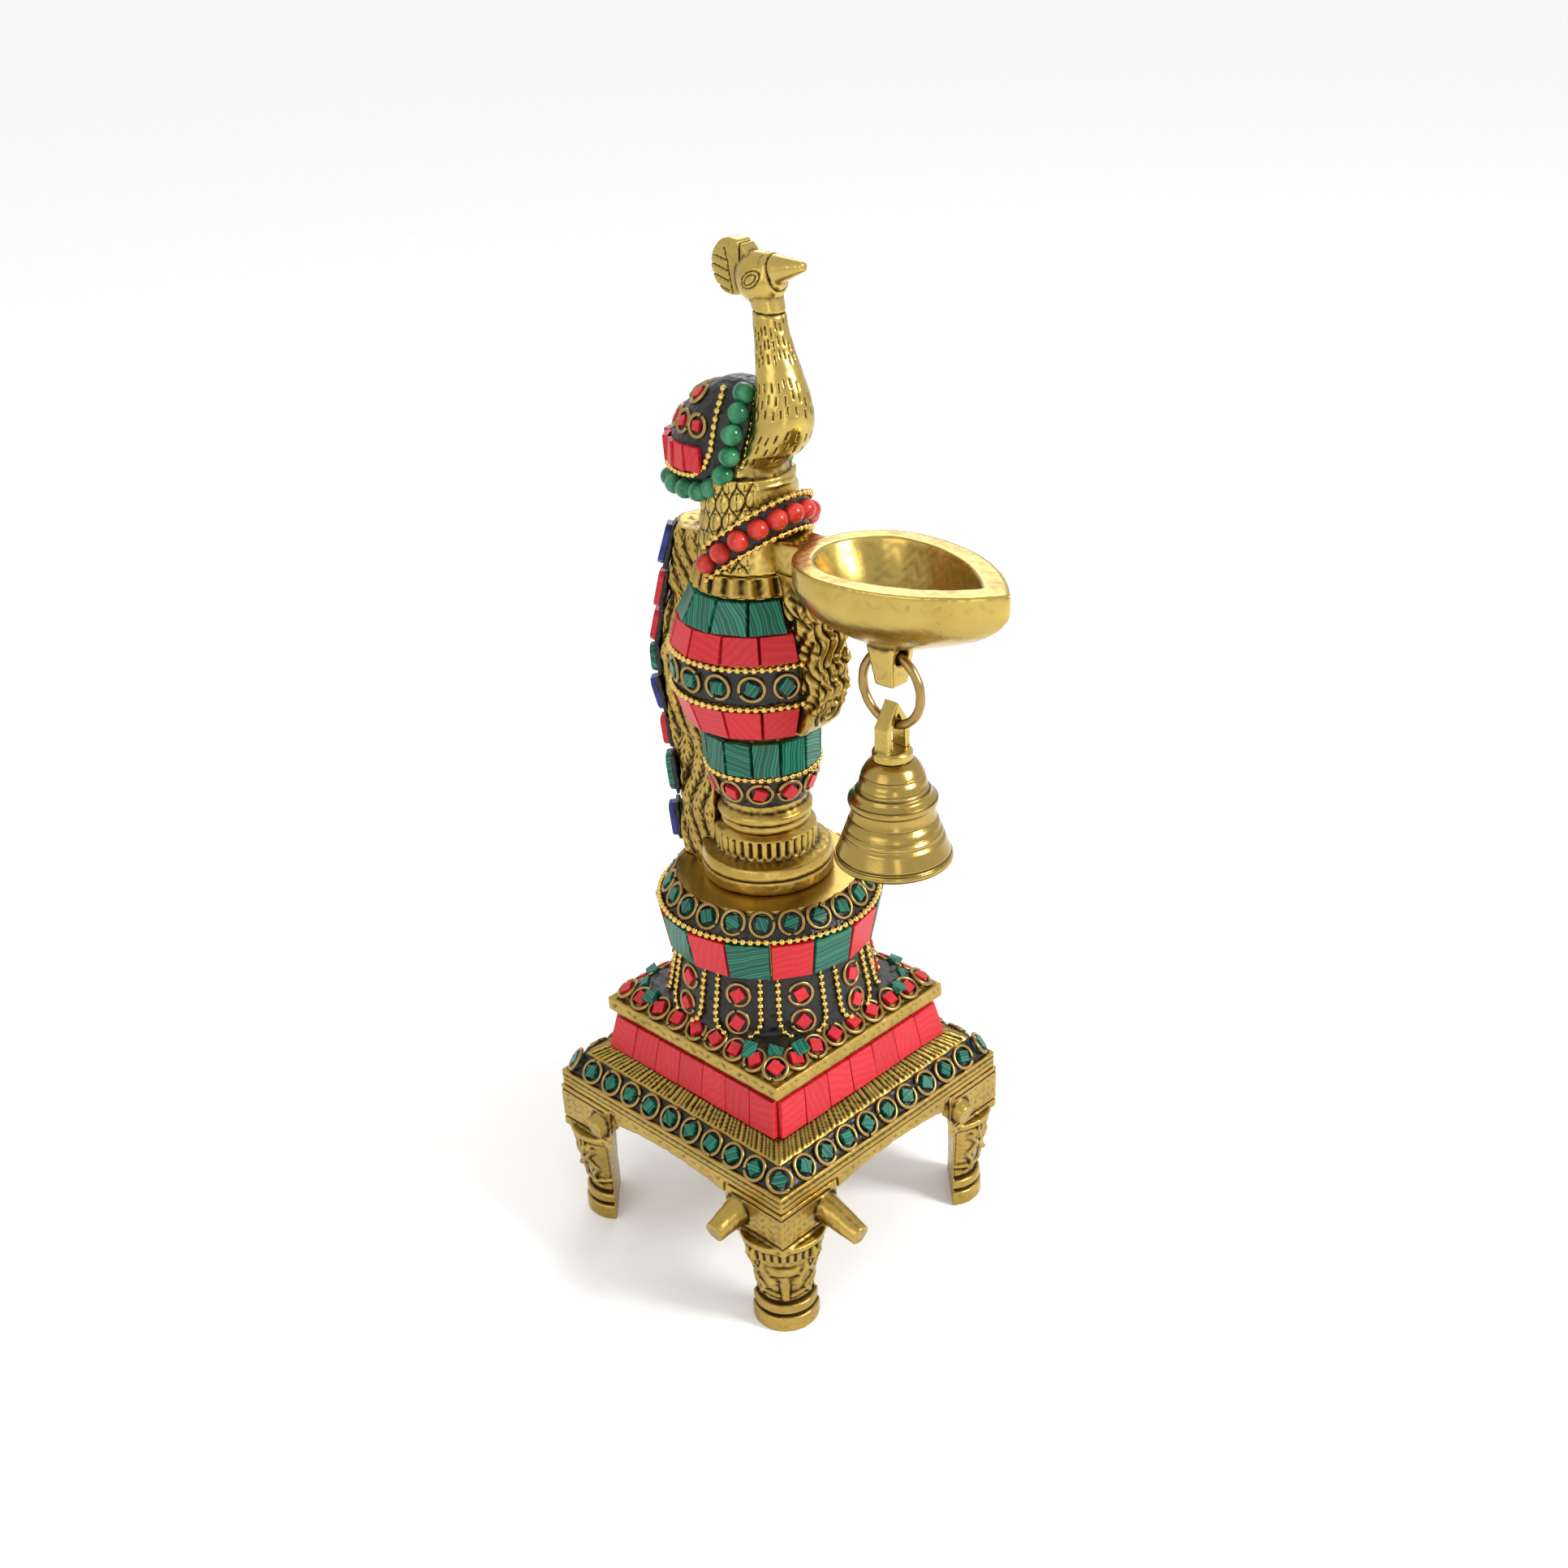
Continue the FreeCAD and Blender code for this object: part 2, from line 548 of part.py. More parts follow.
def make_stool_trim(plate):
    resin = make_square_resin("stool_resin", "band_outer_half", "stool_high_z",
                              "band_inner_half", "band_inner_z", plate)
    inside = block("stool_inside", ("-cavity_half", "-cavity_half", "stool_high_z - 1"),
                   ("cavity_half", "cavity_half", "cavity_z + 0.1"))
    middle = core_way("stool_core_way", "rod_bore + 1")
    keep(cut("stool_resin_hollow", resin, inside, middle), "stool_resin_bed")
    rings = new_body("stool_rings")
    chips = new_body("stool_chips")
    square_rings(rings, chips, "stool", "stool_ring_half + 0.9", "stool_ring_z",
                 "stool_ring_tilt", "stool_ring_pitch", "stool_ring_count")
    keep(rings, "stool_wire_rings")
    keep(chips, "stool_malachite_stones")


# ---------------------------------------------------------------- plinth and lotus plate

def make_plinth():
    body = new_body("plinth_block")
    square_loft(body, "plinth_core", "plinth_low_half - tile_thick", "seat_z",
                "plinth_high_half - tile_thick", "plinth_tile_high_z")
    neck = new_sketch(body, "plinth_neck", "XY_Plane", "plinth_tile_high_z")
    pad(body, "neck", square(neck, "plinth_neck_half"), "rim_low_z - plinth_tile_high_z")
    core = circle(new_sketch(body, "plinth_core_hole", "XY_Plane", "rim_low_z"),
                  ("0", "0"), "core_bore")
    pocket(body, "plinth_bore", core, "rim_low_z - seat_z")
    keep(body, "plinth_block")

    tiles = []
    count = int(value_of("plinth_tile_count"))
    for side in range(4):
        for number in range(count):
            tile = doc.addObject("Part::Wedge", "plinth_tile_%d_%d" % (side, number))
            low_share = "2 * (plinth_low_half - tile_thick) / plinth_tile_count"
            high_share = "2 * (plinth_high_half - tile_thick) / plinth_tile_count"
            left = number - count / 2
            right = left + 1
            bind(tile,
                 Xmin="%s * %s + tile_gap / 2" % (left, low_share),
                 Xmax="%s * %s - tile_gap / 2" % (right, low_share),
                 X2min="%s * %s + tile_gap / 2" % (left, high_share),
                 X2max="%s * %s - tile_gap / 2" % (right, high_share),
                 Ymin="plinth_tile_low_z", Ymax="plinth_tile_high_z",
                 Zmin="plinth_low_half - tile_thick", Zmax="plinth_low_half",
                 Z2min="plinth_high_half - tile_thick", Z2max="plinth_high_half")
            upright = ROTATION(VECTOR(1, 1, 1), 120)
            tile.Placement = PLACEMENT(VECTOR(), ROTATION(AXIS_Z, 90 * side) * upright)
            tiles.append(tile)
    keep(group("plinth_tiles", tiles), "plinth_coral_tiles")


def make_lotus_plate():
    body = new_body("lotus_plate")
    rim = square(new_sketch(body, "rim_square", "XY_Plane", "rim_low_z"), "rim_half")
    pad(body, "rim", rim, "rim_high_z - rim_low_z")
    square_loft(body, "plate_slope", "slope_outer_half", "rim_high_z",
                "slope_inner_half", "slope_inner_z")
    wall = polygon(new_sketch(body, "petal_outline", "XZ_Plane"), [
        ("0", "rim_high_z - 1"), ("petal_low_radius", "rim_high_z - 1"),
        ("petal_low_radius", "petal_low_z"), ("petal_high_radius", "petal_high_z"),
        ("0", "petal_high_z")])
    revolution(body, "petal_wall", wall)
    core = circle(new_sketch(body, "lotus_core_hole", "XY_Plane", "petal_high_z"),
                  ("0", "0"), "core_bore")
    pocket(body, "lotus_bore", core, "petal_high_z - rim_low_z")
    return keep(body, "lotus_plate")


def make_lotus_trim(plate):
    slope = new_body("lotus_resin_slope")
    square_loft(slope, "lotus_resin_square", "slope_outer_half", "rim_high_z + 0.01",
                "slope_inner_half + 0.6", "slope_inner_z + 0.6")
    wall = turned("lotus_resin_wall", [
        ("core_bore + 2", "petal_low_z"), ("petal_low_radius + resin_thick", "petal_low_z"),
        ("petal_high_radius + resin_thick", "petal_high_z"), ("core_bore + 2", "petal_high_z")])
    bed = cut("lotus_resin", fuse("lotus_resin_whole", [slope, wall]), plate,
              core_way("lotus_core_way", "core_bore + 1"))
    keep(bed, "lotus_resin_bed")

    rings = new_body("lotus_rings")
    chips = new_body("lotus_chips")
    square_rings(rings, chips, "lotus", "plate_ring_half", "plate_ring_z", "plate_ring_tilt",
                 "plate_ring_pitch", "plate_ring_count")
    count = int(value_of("petal_count"))
    slant = "(petal_low_radius - petal_high_radius) / (petal_high_z - petal_low_z)"
    tilt = "atan(%s)" % slant
    phase = 7.0
    for place, height in (("low", "petal_low_ring_z"), ("high", "petal_high_ring_z")):
        radius = "petal_low_radius + resin_thick - (%s - petal_low_z) * %s" % (height, slant)
        ring = ring_feature(rings, "petal_ring_" + place, radius, height, tilt, turn=phase)
        around(rings, "petal_rings_" + place, ring, count)
        chip = chip_feature(chips, "petal_chip_" + place, radius, height, tilt, turn=phase)
        around(chips, "petal_chips_" + place, chip, count)
    keep(rings, "lotus_wire_rings")
    keep(chips, "lotus_coral_stones")

    chains = new_body("petal_chains")
    for side in (-1, 1):
        ends = []
        angle = phase + side * value_of("petal_half_angle")
        for place, radius, height in (
                ("low", "petal_low_radius", "petal_low_z + 1.5"),
                ("high", "petal_high_radius", "petal_high_z - 0.2")):
            end = new_sketch(chains, "chain_%s_%d" % (place, side + 1), "XY_Plane", height, angle)
            ends.append(circle(end, ("%s + resin_thick + 0.4" % radius, "0"), "bead_radius"))
        run = loft(chains, "petal_chain_%d" % (side + 1), ends)
        around(chains, "petal_chains_%d" % (side + 1), run, count)
    keep(chains, "petal_bead_chains")

    corner = new_body("corner_chips")
    for number, shift in enumerate((-11.0, 0.0, 11.0)):
        radius = "slope_inner_half * sqrt(2) - %s" % (1.0 if shift == 0 else 2.4)
        chip = chip_feature(corner, "corner_chip_%d" % number, radius, "slope_inner_z - 0.2",
                            "65", turn=45.0 + shift)
        around(corner, "corner_chips_%d" % number, chip, 4)
    keep(corner, "lotus_malachite_chips")


# ---------------------------------------------------------------- drum and column foot

def make_drum():
    body = turned("drum", [
        ("core_bore", "drum_low_z"),
        ("drum_tile_low_radius - tile_thick - 0.4", "drum_low_z"),
        ("drum_tile_low_radius - tile_thick", "drum_tile_low_z"),
        ("drum_tile_high_radius - tile_thick", "drum_tile_high_z"),
        ("drum_chain_radius - resin_thick", "drum_tile_high_z + 0.2"),
        ("drum_rest_radius - resin_thick", "drum_rest_z"),
        ("drum_edge_radius", "drum_rest_z"),
        ("drum_edge_radius", "drum_top_z"), ("rod_bore", "drum_top_z"),
        ("rod_bore", "drum_top_z - 5"), ("core_bore", "drum_top_z - 5")])
    keep(body, "drum")
    resin = turned("drum_resin", [
        ("drum_chain_radius - resin_thick", "drum_tile_high_z + 0.2"),
        ("drum_chain_radius", "drum_tile_high_z + 0.2"),
        ("drum_rest_radius", "drum_rest_z"),
        ("drum_rest_radius - resin_thick", "drum_rest_z")])
    keep(resin, "drum_resin_bed")
    keep(chain("drum_chain", "drum_chain_radius + 0.25", "drum_chain_z"), "drum_bead_chain")

    pairs = int(value_of("drum_tile_pairs"))
    spread = 2 * math.tan(math.pi / (2 * pairs))
    low_width = "(drum_tile_low_radius - tile_thick) * %.6f - tile_gap" % spread
    high_width = "(drum_tile_high_radius - tile_thick) * %.6f - tile_gap" % spread
    low = ("drum_tile_low_radius", "drum_tile_low_z")
    high = ("drum_tile_high_radius", "drum_tile_high_z")
    for label, start in (("drum_coral_tiles", 11.0), ("drum_malachite_tiles", 33.5)):
        tiles = new_body(label)
        tile = tile_feature(tiles, label + "_tile", low, high, low_width, high_width, start)
        around(tiles, label + "_row", tile, pairs)
        keep(tiles, label)

    count = int(value_of("drum_ring_count"))
    rings = new_body("drum_rings")
    ring = ring_feature(rings, "drum_ring", "drum_ring_radius", "drum_ring_z", "drum_ring_tilt")
    around(rings, "drum_ring_row", ring, count)
    keep(rings, "drum_wire_rings")
    chips = new_body("drum_chips")
    chip = chip_feature(chips, "drum_chip", "drum_ring_radius", "drum_ring_z", "drum_ring_tilt")
    around(chips, "drum_chip_row", chip, count)
    keep(chips, "drum_malachite_stones")


def make_column_foot():
    body = turned("column_foot", [
        ("rod_bore", "drum_top_z"), ("foot_disc_radius - 0.6", "drum_top_z"),
        ("foot_disc_radius", "drum_top_z + 1"), ("foot_disc_radius", "foot_disc_z"),
        ("foot_step_radius", "foot_step_z"), ("flute_low_radius", "flute_low_z - 0.6"),
        ("flute_radius", "flute_low_z"), ("flute_radius", "flute_high_z"),
        ("foot_neck_radius", "foot_high_end_z"), ("rod_bore", "foot_high_end_z")])
    return keep(body, "column_foot")


# ---------------------------------------------------------------- vase

def make_vase():
    body = turned("vase_body", [
        ("vase_low_bore", "foot_high_end_z"), ("foot_neck_radius", "foot_high_end_z"),
        ("vase_ring_radius", "vase_ring_low_z"), ("vase_ring_radius", "vase_ring_high_z"),
        ("vase_neck_radius", "vase_ring_high_z + 0.5"), ("lip_radius", "lip_low_z"),
        ("lip_radius", "lip_high_z"), ("vase_neck_radius", "vase_neck_z"),
        ("neck_band_low_radius", "neck_band_low_z"),
        ("neck_band_high_radius", "neck_band_high_z"),
        ("neck_tile_low_radius - tile_thick", "neck_tile_low_z"),
        ("neck_tile_high_radius - tile_thick", "neck_tile_high_z"),
        ("vase_gap_radius", "vase_gap_z"),
        ("belly_tile_low_radius - tile_thick", "belly_tile_low_z"),
        ("belly_tile_high_radius - tile_thick", "belly_tile_high_z"),
        ("belly_core_radius", "belly_band_low_z"), ("belly_core_radius", "belly_band_high_z"),
        ("shoulder_tile_low_radius - tile_thick", "shoulder_tile_low_z"),
        ("shoulder_tile_high_radius - tile_thick", "shoulder_tile_high_z"),
        ("upper_tile_low_radius - tile_thick", "upper_tile_low_z"),
        ("upper_tile_high_radius - tile_thick", "upper_tile_high_z"),
        ("collar_low_radius", "collar_low_z"), ("collar_high_radius", "vase_top_z"),
        ("rod_bore", "vase_top_z"), ("rod_bore", "bore_end_z"),
        ("vase_low_bore", "bore_end_z"), ("vase_wide_bore", "bore_narrow_z"),
        ("vase_wide_bore", "bore_widen_z"), ("vase_low_bore", "bore_widen_z - 12")])
    return keep(body, "vase_body")


def make_vase_trim(strips):
    neck_resin = turned("neck_resin", [
        ("neck_band_low_radius", "neck_band_low_z"),
        ("neck_band_low_radius + resin_thick", "neck_band_low_z"),
        ("neck_band_high_radius + resin_thick", "neck_band_high_z"),
        ("neck_band_high_radius", "neck_band_high_z")])
    keep(cut("neck_resin", neck_resin, strips), "neck_resin_band")
    belly_resin = turned("belly_resin", [
        ("belly_core_radius", "belly_band_low_z"), ("belly_band_radius", "belly_band_low_z"),
        ("belly_band_radius", "belly_band_high_z"), ("belly_core_radius", "belly_band_high_z")])
    keep(cut("belly_resin", belly_resin, strips), "belly_resin_band")

    neck_chain = chain("neck_chain", "neck_chain_radius - 0.2", "neck_band_high_z + 0.5")
    keep(cut("neck_chain", neck_chain, strips), "neck_bead_chain")
    belly_chains = group("belly_chain_pair", [
        chain("belly_low_chain", "belly_low_chain_radius - 0.4", "belly_band_low_z - 0.6"),
        chain("belly_high_chain", "belly_high_chain_radius - 0.4", "belly_band_high_z + 0.2")])
    keep(cut("belly_chains", belly_chains, strips), "belly_bead_chains")

    vase_rings("neck_wire_rings", "neck_coral_stones", "neck_ring_radius + 0.2", "neck_ring_z",
               "neck_ring_tilt", 7.7, "0")
    vase_rings("belly_wire_rings", "belly_malachite_stones", "belly_ring_radius - 0.4",
               "belly_ring_z", "0", 8.2)
    vase_tiles("neck_malachite_tiles", "neck_tile_low_radius", "neck_tile_low_z",
               "neck_tile_high_radius", "neck_tile_high_z", 7.9, "0")
    vase_tiles("belly_coral_tiles", "belly_tile_low_radius", "belly_tile_low_z",
               "belly_tile_high_radius", "belly_tile_high_z", 9.6)
    vase_tiles("shoulder_coral_tiles", "shoulder_tile_low_radius", "shoulder_tile_low_z",
               "shoulder_tile_high_radius", "shoulder_tile_high_z", 8.9)
    vase_tiles("shoulder_malachite_tiles", "upper_tile_low_radius", "upper_tile_low_z",
               "upper_tile_high_radius", "upper_tile_high_z", 8.6)


# ---------------------------------------------------------------- peacock

def body_egg(name, grow):
    """Make the peacock's egg-shaped body, or a copy grown outwards."""
    egg = doc.addObject("Part::Ellipsoid", name)
    egg.Angle1 = -90
    egg.Angle2 = 90
    bind(egg, Radius1="body_long + %s" % grow, Radius2="body_short + %s" % grow,
         Radius3="body_side + %s" % grow)
    egg.Placement = PLACEMENT(VECTOR(), ROTATION(AXIS_Y, value_of("body_tilt")))
    bind(egg, **{"Placement.Base.x": "body_x", "Placement.Base.z": "body_z"})
    return egg


def make_peacock():
    hip = doc.addObject("Part::Cone", "hip")
    bind(hip, Radius1="hip_low_radius", Radius2="hip_high_radius", Height="hip_z - vase_top_z")
    bind(hip, **{"Placement.Base.z": "vase_top_z"})

    neck = new_body("neck")
    # centre and radius of the neck's round sections, from the breast up to the throat
    sections = ((224, 1.5, 10.6), (232, 7.4, 8.2), (240, 12.3, 7.8), (248, 12.5, 6.4),
                (256, 10.9, 4.9), (262, 9.8, 4.2), (268, 9.0, 4.0), (272, 8.0, 4.2))
    rounds = []
    for number, (height, middle, radius) in enumerate(sections):
        plan = new_sketch(neck, "neck_round_%d" % number, "XY_Plane", height)
        rounds.append(circle(plan, (middle, "0"), radius))
    loft(neck, "neck_loft", rounds)

    head = doc.addObject("Part::Ellipsoid", "head")
    head.Angle1 = -90
    head.Angle2 = 90
    bind(head, Radius1="head_tall", Radius2="head_long", Radius3="head_side")
    bind(head, **{"Placement.Base.x": "head_x", "Placement.Base.z": "head_z"})

    beak = doc.addObject("Part::Cone", "beak")
    bind(beak, Radius1="beak_root_radius", Radius2="beak_tip_radius", Height="beak_length")
    beak.Placement = PLACEMENT(VECTOR(), ROTATION(AXIS_Y, 90.0 - value_of("beak_lift")))
    bind(beak, **{"Placement.Base.x": "beak_root_x", "Placement.Base.z": "beak_root_z"})

    crest = doc.addObject("Part::Cylinder", "crest")
    bind(crest, Radius="crest_radius", Height="crest_width")
    crest.Placement = PLACEMENT(VECTOR(), ROTATION(AXIS_X, -90.0))
    bind(crest, **{"Placement.Base.x": "crest_x", "Placement.Base.y": "-crest_width / 2",
                   "Placement.Base.z": "crest_z"})

    whole = fuse("figure", [hip, body_egg("egg", "0"), neck, head, beak, crest])
    socket = doc.addObject("Part::Cylinder", "rod_socket")
    bind(socket, Radius="rod_radius", Height="rod_high_z - vase_top_z + 1")
    bind(socket, **{"Placement.Base.z": "vase_top_z - 1"})
    return keep(cut("figure", whole, socket), "peacock_figure")


def egg_point(around_angle, height, grow):
    """Find the point of the grown egg at a height and at an angle about the egg's own middle."""
    tilt = math.radians(value_of("body_tilt"))
    long_half = value_of("body_long") + grow
    short_half = value_of("body_short") + grow
    side_half = value_of("body_side") + grow
    rise = height - value_of("body_z")
    turn = math.radians(around_angle)
    step_x = math.cos(turn)
    step_y = math.sin(turn)
    # distance d along (step_x, step_y) solves the tilted ellipsoid's equation
    along_rate = step_x * math.sin(tilt)
    across_rate = step_x * math.cos(tilt)
    along_base = rise * math.cos(tilt)
    across_base = -rise * math.sin(tilt)
    square_term = (along_rate / long_half) ** 2 + (across_rate / short_half) ** 2
    square_term += (step_y / side_half) ** 2
    mixed_term = along_rate * along_base / long_half ** 2
    mixed_term += across_rate * across_base / short_half ** 2
    plain_term = (along_base / long_half) ** 2 + (across_base / short_half) ** 2 - 1
    distance = (math.sqrt(mixed_term ** 2 - square_term * plain_term) - mixed_term) / square_term
    return (value_of("body_x") + distance * step_x, distance * step_y, height)


def along_row(row, share):
    """Find the angle and height at a share of the way along a row of (angle, height) pairs."""
    spot = share * (len(row) - 1)
    index = min(int(spot), len(row) - 2)
    part = spot - index
    return tuple(a + (b - a) * part for a, b in zip(row[index], row[index + 1]))


def egg_facing(place):
    """Return the rotation that stands a piece's Z along the egg's outward normal at a place."""
    tilt = ROTATION(AXIS_Y, value_of("body_tilt"))
    middle = VECTOR(value_of("body_x"), 0, value_of("body_z"))
    local = tilt.inverted().multVec(VECTOR(*place) - middle)
    halves = (value_of("body_short"), value_of("body_side"), value_of("body_long"))
    normal = VECTOR(*[part / half ** 2 for part, half in zip(local, halves)])
    return ROTATION(AXIS_Z, tilt.multVec(normal))


# the cabochon row on the peacock's back: angle about the body's middle, and height
GREEN_ROW = ((24, 246.6), (33, 242.6), (40, 237.6), (43, 232.2), (51, 227.0), (68, 223.0),
             (89, 221.4), (110, 221.4), (131, 221.4), (152, 221.6), (172, 221.8))
CHAIN_LOW_ROW = ((14, 245.4), (21, 240.6), (26, 235.4), (30, 229.6), (40, 223.8), (60, 219.4),
                 (86, 218.0), (116, 218.0), (148, 218.0), (178, 218.0))
CHAIN_HIGH_ROW = ((46, 247.0), (53, 243.0), (57, 238.0), (61, 233.0), (71, 228.6), (88, 226.0),
                  (108, 225.6), (130, 225.8), (154, 226.0), (178, 226.0))


def make_back_trim(figure):
    """Cover the peacock's back with resin, cabochons, chains, tiles and ringed chips."""
    region = block("back_region", ("-40", "-20", "shell_low_z"), ("shell_front_x", "20", "255"))
    shell = doc.addObject("Part::Common", "shell_region")
    shell.Base = body_egg("shell_egg", "shell_offset")
    shell.Tool = region
    keep(cut("back_resin", shell, figure), "back_resin_shell")

    offset = value_of("shell_offset")
    cabochon_rise = offset + value_of("cabochon_radius") * 0.35
    greens = []
    beads = []
    for side in (-1, 1):
        for number, (angle, height) in enumerate(GREEN_ROW):
            place = egg_point(side * angle, height, cabochon_rise)
            greens.append(ball("green_%d_%d" % (side + 1, number), place, "cabochon_radius"))
        for kind, row in enumerate((CHAIN_LOW_ROW, CHAIN_HIGH_ROW)):
            count = 32 - 7 * kind
            for number in range(count):
                angle, height = along_row(row, number / count)
                place = egg_point(side * angle, height, offset + 0.3)
                name = "back_bead_%d_%d_%d" % (side + 1, kind, number)
                beads.append(ball(name, place, "bead_radius"))
    keep(group("greens", greens), "back_green_cabochons")
    keep(group("back_beads", beads), "back_bead_chains")

    tiles = []
    rings = []
    for side in (-1, 1):
        for number, angle in enumerate((84, 104, 124, 144, 164)):
            place = egg_point(side * angle, 230.4, offset + 0.2)
            tile = doc.addObject("Part::Box", "back_tile_%d_%d" % (side + 1, number))
            bind(tile, Length="tile_thick", Width="back_tile_width", Height="back_tile_tall")
            upright = math.degrees(math.atan2(place[1], place[0] - value_of("body_x")))
            turn = ROTATION(AXIS_Z, upright)
            middle = turn.multVec(VECTOR(0.8, value_of("back_tile_width") / 2,
                                         value_of("back_tile_tall") / 2))
            tile.Placement = PLACEMENT(VECTOR(*place) - middle, turn)
            tiles.append(tile)
        for number, (angle, height) in enumerate(((79, 238.6), (107, 238.6), (135, 238.4),
                                                  (163, 238.2), (102, 244.8), (154, 244.4))):
            place = egg_point(side * angle, height, offset)
            facing = egg_facing(place)
            ring = doc.addObject("Part::Torus", "back_ring_%d_%d" % (side + 1, number))
            bind(ring, Radius1="back_ring_radius", Radius2="wire_radius")
            ring.Placement = PLACEMENT(VECTOR(*place), facing)
            rings.append(ring)
            chip = doc.addObject("Part::Box", "back_chip_%d_%d" % (side + 1, number))
            bind(chip, Length="2 * chip_half", Width="2 * chip_half", Height="chip_tall")
            half = value_of("chip_half")
            shift = facing.multVec(VECTOR(-half, -half, -value_of("chip_tall") / 2))
            chip.Placement = PLACEMENT(VECTOR(*place) + shift, facing)
            tiles.append(chip)
    keep(group("back_tiles", tiles), "back_coral_stones")
    keep(group("back_rings", rings), "back_wire_rings")


def collar_point(angle, radius, shift=0.0):
    """Find a point of the collar, which rises from the sides to the middle of the breast."""
    turn = math.radians(angle)
    height = value_of("collar_mid_z") + value_of("collar_rise") * math.cos(turn) + shift
    return (radius * math.cos(turn), radius * math.sin(turn), height)


def make_collar(figure, bowl, back):
    slab = doc.addObject("Part::Box", "collar_slab")
    bind(slab, Length="60", Width="60", Height="collar_width * 0.8")
    lean = math.degrees(math.atan2(value_of("collar_rise"), value_of("collar_radius")))
    turn = ROTATION(AXIS_Y, -lean)
    corner = turn.multVec(VECTOR(-30, -30, -value_of("collar_width") * 0.4))
    slab.Placement = PLACEMENT(VECTOR(0, 0, value_of("collar_mid_z")) + corner, turn)
    drum_round = doc.addObject("Part::Cylinder", "collar_round")
    bind(drum_round, Radius="collar_radius", Height="30")
    bind(drum_round, **{"Placement.Base.z": "vase_top_z + 0.3"})
    band = doc.addObject("Part::Common", "collar_band")
    band.Base = slab
    band.Tool = drum_round
    behind = block("collar_behind", ("-40", "-40", "190"), ("-1.6", "40", "240"))
    middle = core_way("collar_core_way", "rod_radius + 2")
    keep(cut("collar_resin", band, behind, figure, bowl, back, middle), "collar_resin_band")

    stones = []
    beads = []
    reach = value_of("collar_reach")
    count = int(value_of("collar_stone_count"))
    radius = value_of("collar_stone_radius")
    for number in range(count):
        angle = -reach + 2 * reach * number / (count - 1)
        name = "collar_stone_%d" % number
        stones.append(ball(name, collar_point(angle, radius), "cabochon_radius"))
    for row, shift in enumerate((-4.4, 4.4)):
        for number in range(25):
            angle = -reach + 2 * reach * number / 24
            place = collar_point(angle, radius + 0.1, shift)
            beads.append(ball("collar_bead_%d_%d" % (row, number), place, "bead_radius"))
    keep(group("collar_stones", stones), "collar_coral_cabochons")
    keep(group("collar_beads", beads), "collar_bead_chains")


# ---------------------------------------------------------------- tail plume

# height, inner X and outer X of the plume's sections, from its foot on the drum to its top
TAIL_SECTIONS = ((113.5, -10.0, -27.6), (123.0, -10.0, -28.2), (134.0, -10.0, -27.4),
                 (150.0, -10.4, -29.0), (162.0, -13.8, -31.2), (174.0, -13.8, -31.4),
                 (186.0, -13.8, -28.2), (197.0, -10.4, -25.6), (210.0, -9.0, -22.0))
TAIL_CHAMFER = 4.4
TAIL_FACE_HALF = 4.6
# stone, middle height, width and length of each slab: down both sides of the plume, then its spine
SIDE_SLABS = (("lapis", 203.5, 6.4, 11.0), ("coral", 190.6, 6.4, 10.0), ("coral", 179.6, 6.6, 8.6),
              ("malachite", 170.2, 5.6, 7.6), ("lapis", 160.4, 6.4, 9.4), ("coral", 149.8, 5.6, 8.4),
              ("malachite", 137.6, 7.0, 11.0), ("lapis", 122.4, 4.6, 10.4))
SPINE_SLABS = (("malachite", 198.0, 6.0, 8.0), ("lapis", 186.0, 6.4, 9.4), ("coral", 174.0, 6.4, 8.6),
               ("malachite", 163.0, 6.4, 8.6), ("lapis", 151.6, 6.0, 8.6), ("coral", 140.4, 6.0, 8.4),
               ("malachite", 128.6, 6.6, 9.6), ("lapis", 117.8, 5.0, 6.6))


def tail_outer(height):
    """Interpolate the plume's outer X at a height, and its slope."""
    for low, high in zip(TAIL_SECTIONS, TAIL_SECTIONS[1:]):
        if height <= high[0]:
            rate = (high[2] - low[2]) / (high[0] - low[0])
            return low[2] + rate * (height - low[0]), rate
    return TAIL_SECTIONS[-1][2], 0.0


def make_tail(*neighbours):
    body = new_body("tail_blank")
    sections = []
    half = "tail_width / 2"
    for number, (height, inner, outer) in enumerate(TAIL_SECTIONS):
        plan = new_sketch(body, "tail_plan_%d" % number, "XY_Plane", height)
        sections.append(polygon(plan, [
            (inner, "-%s" % half), (outer + TAIL_CHAMFER, "-%s" % half),
            (outer, -TAIL_FACE_HALF), (outer, TAIL_FACE_HALF),
            (outer + TAIL_CHAMFER, half), (inner, half)]))
    feature = loft(body, "tail_loft", sections)
    feature.Ruled = True
    return keep(cut("tail", body, *neighbours), "tail_plume")


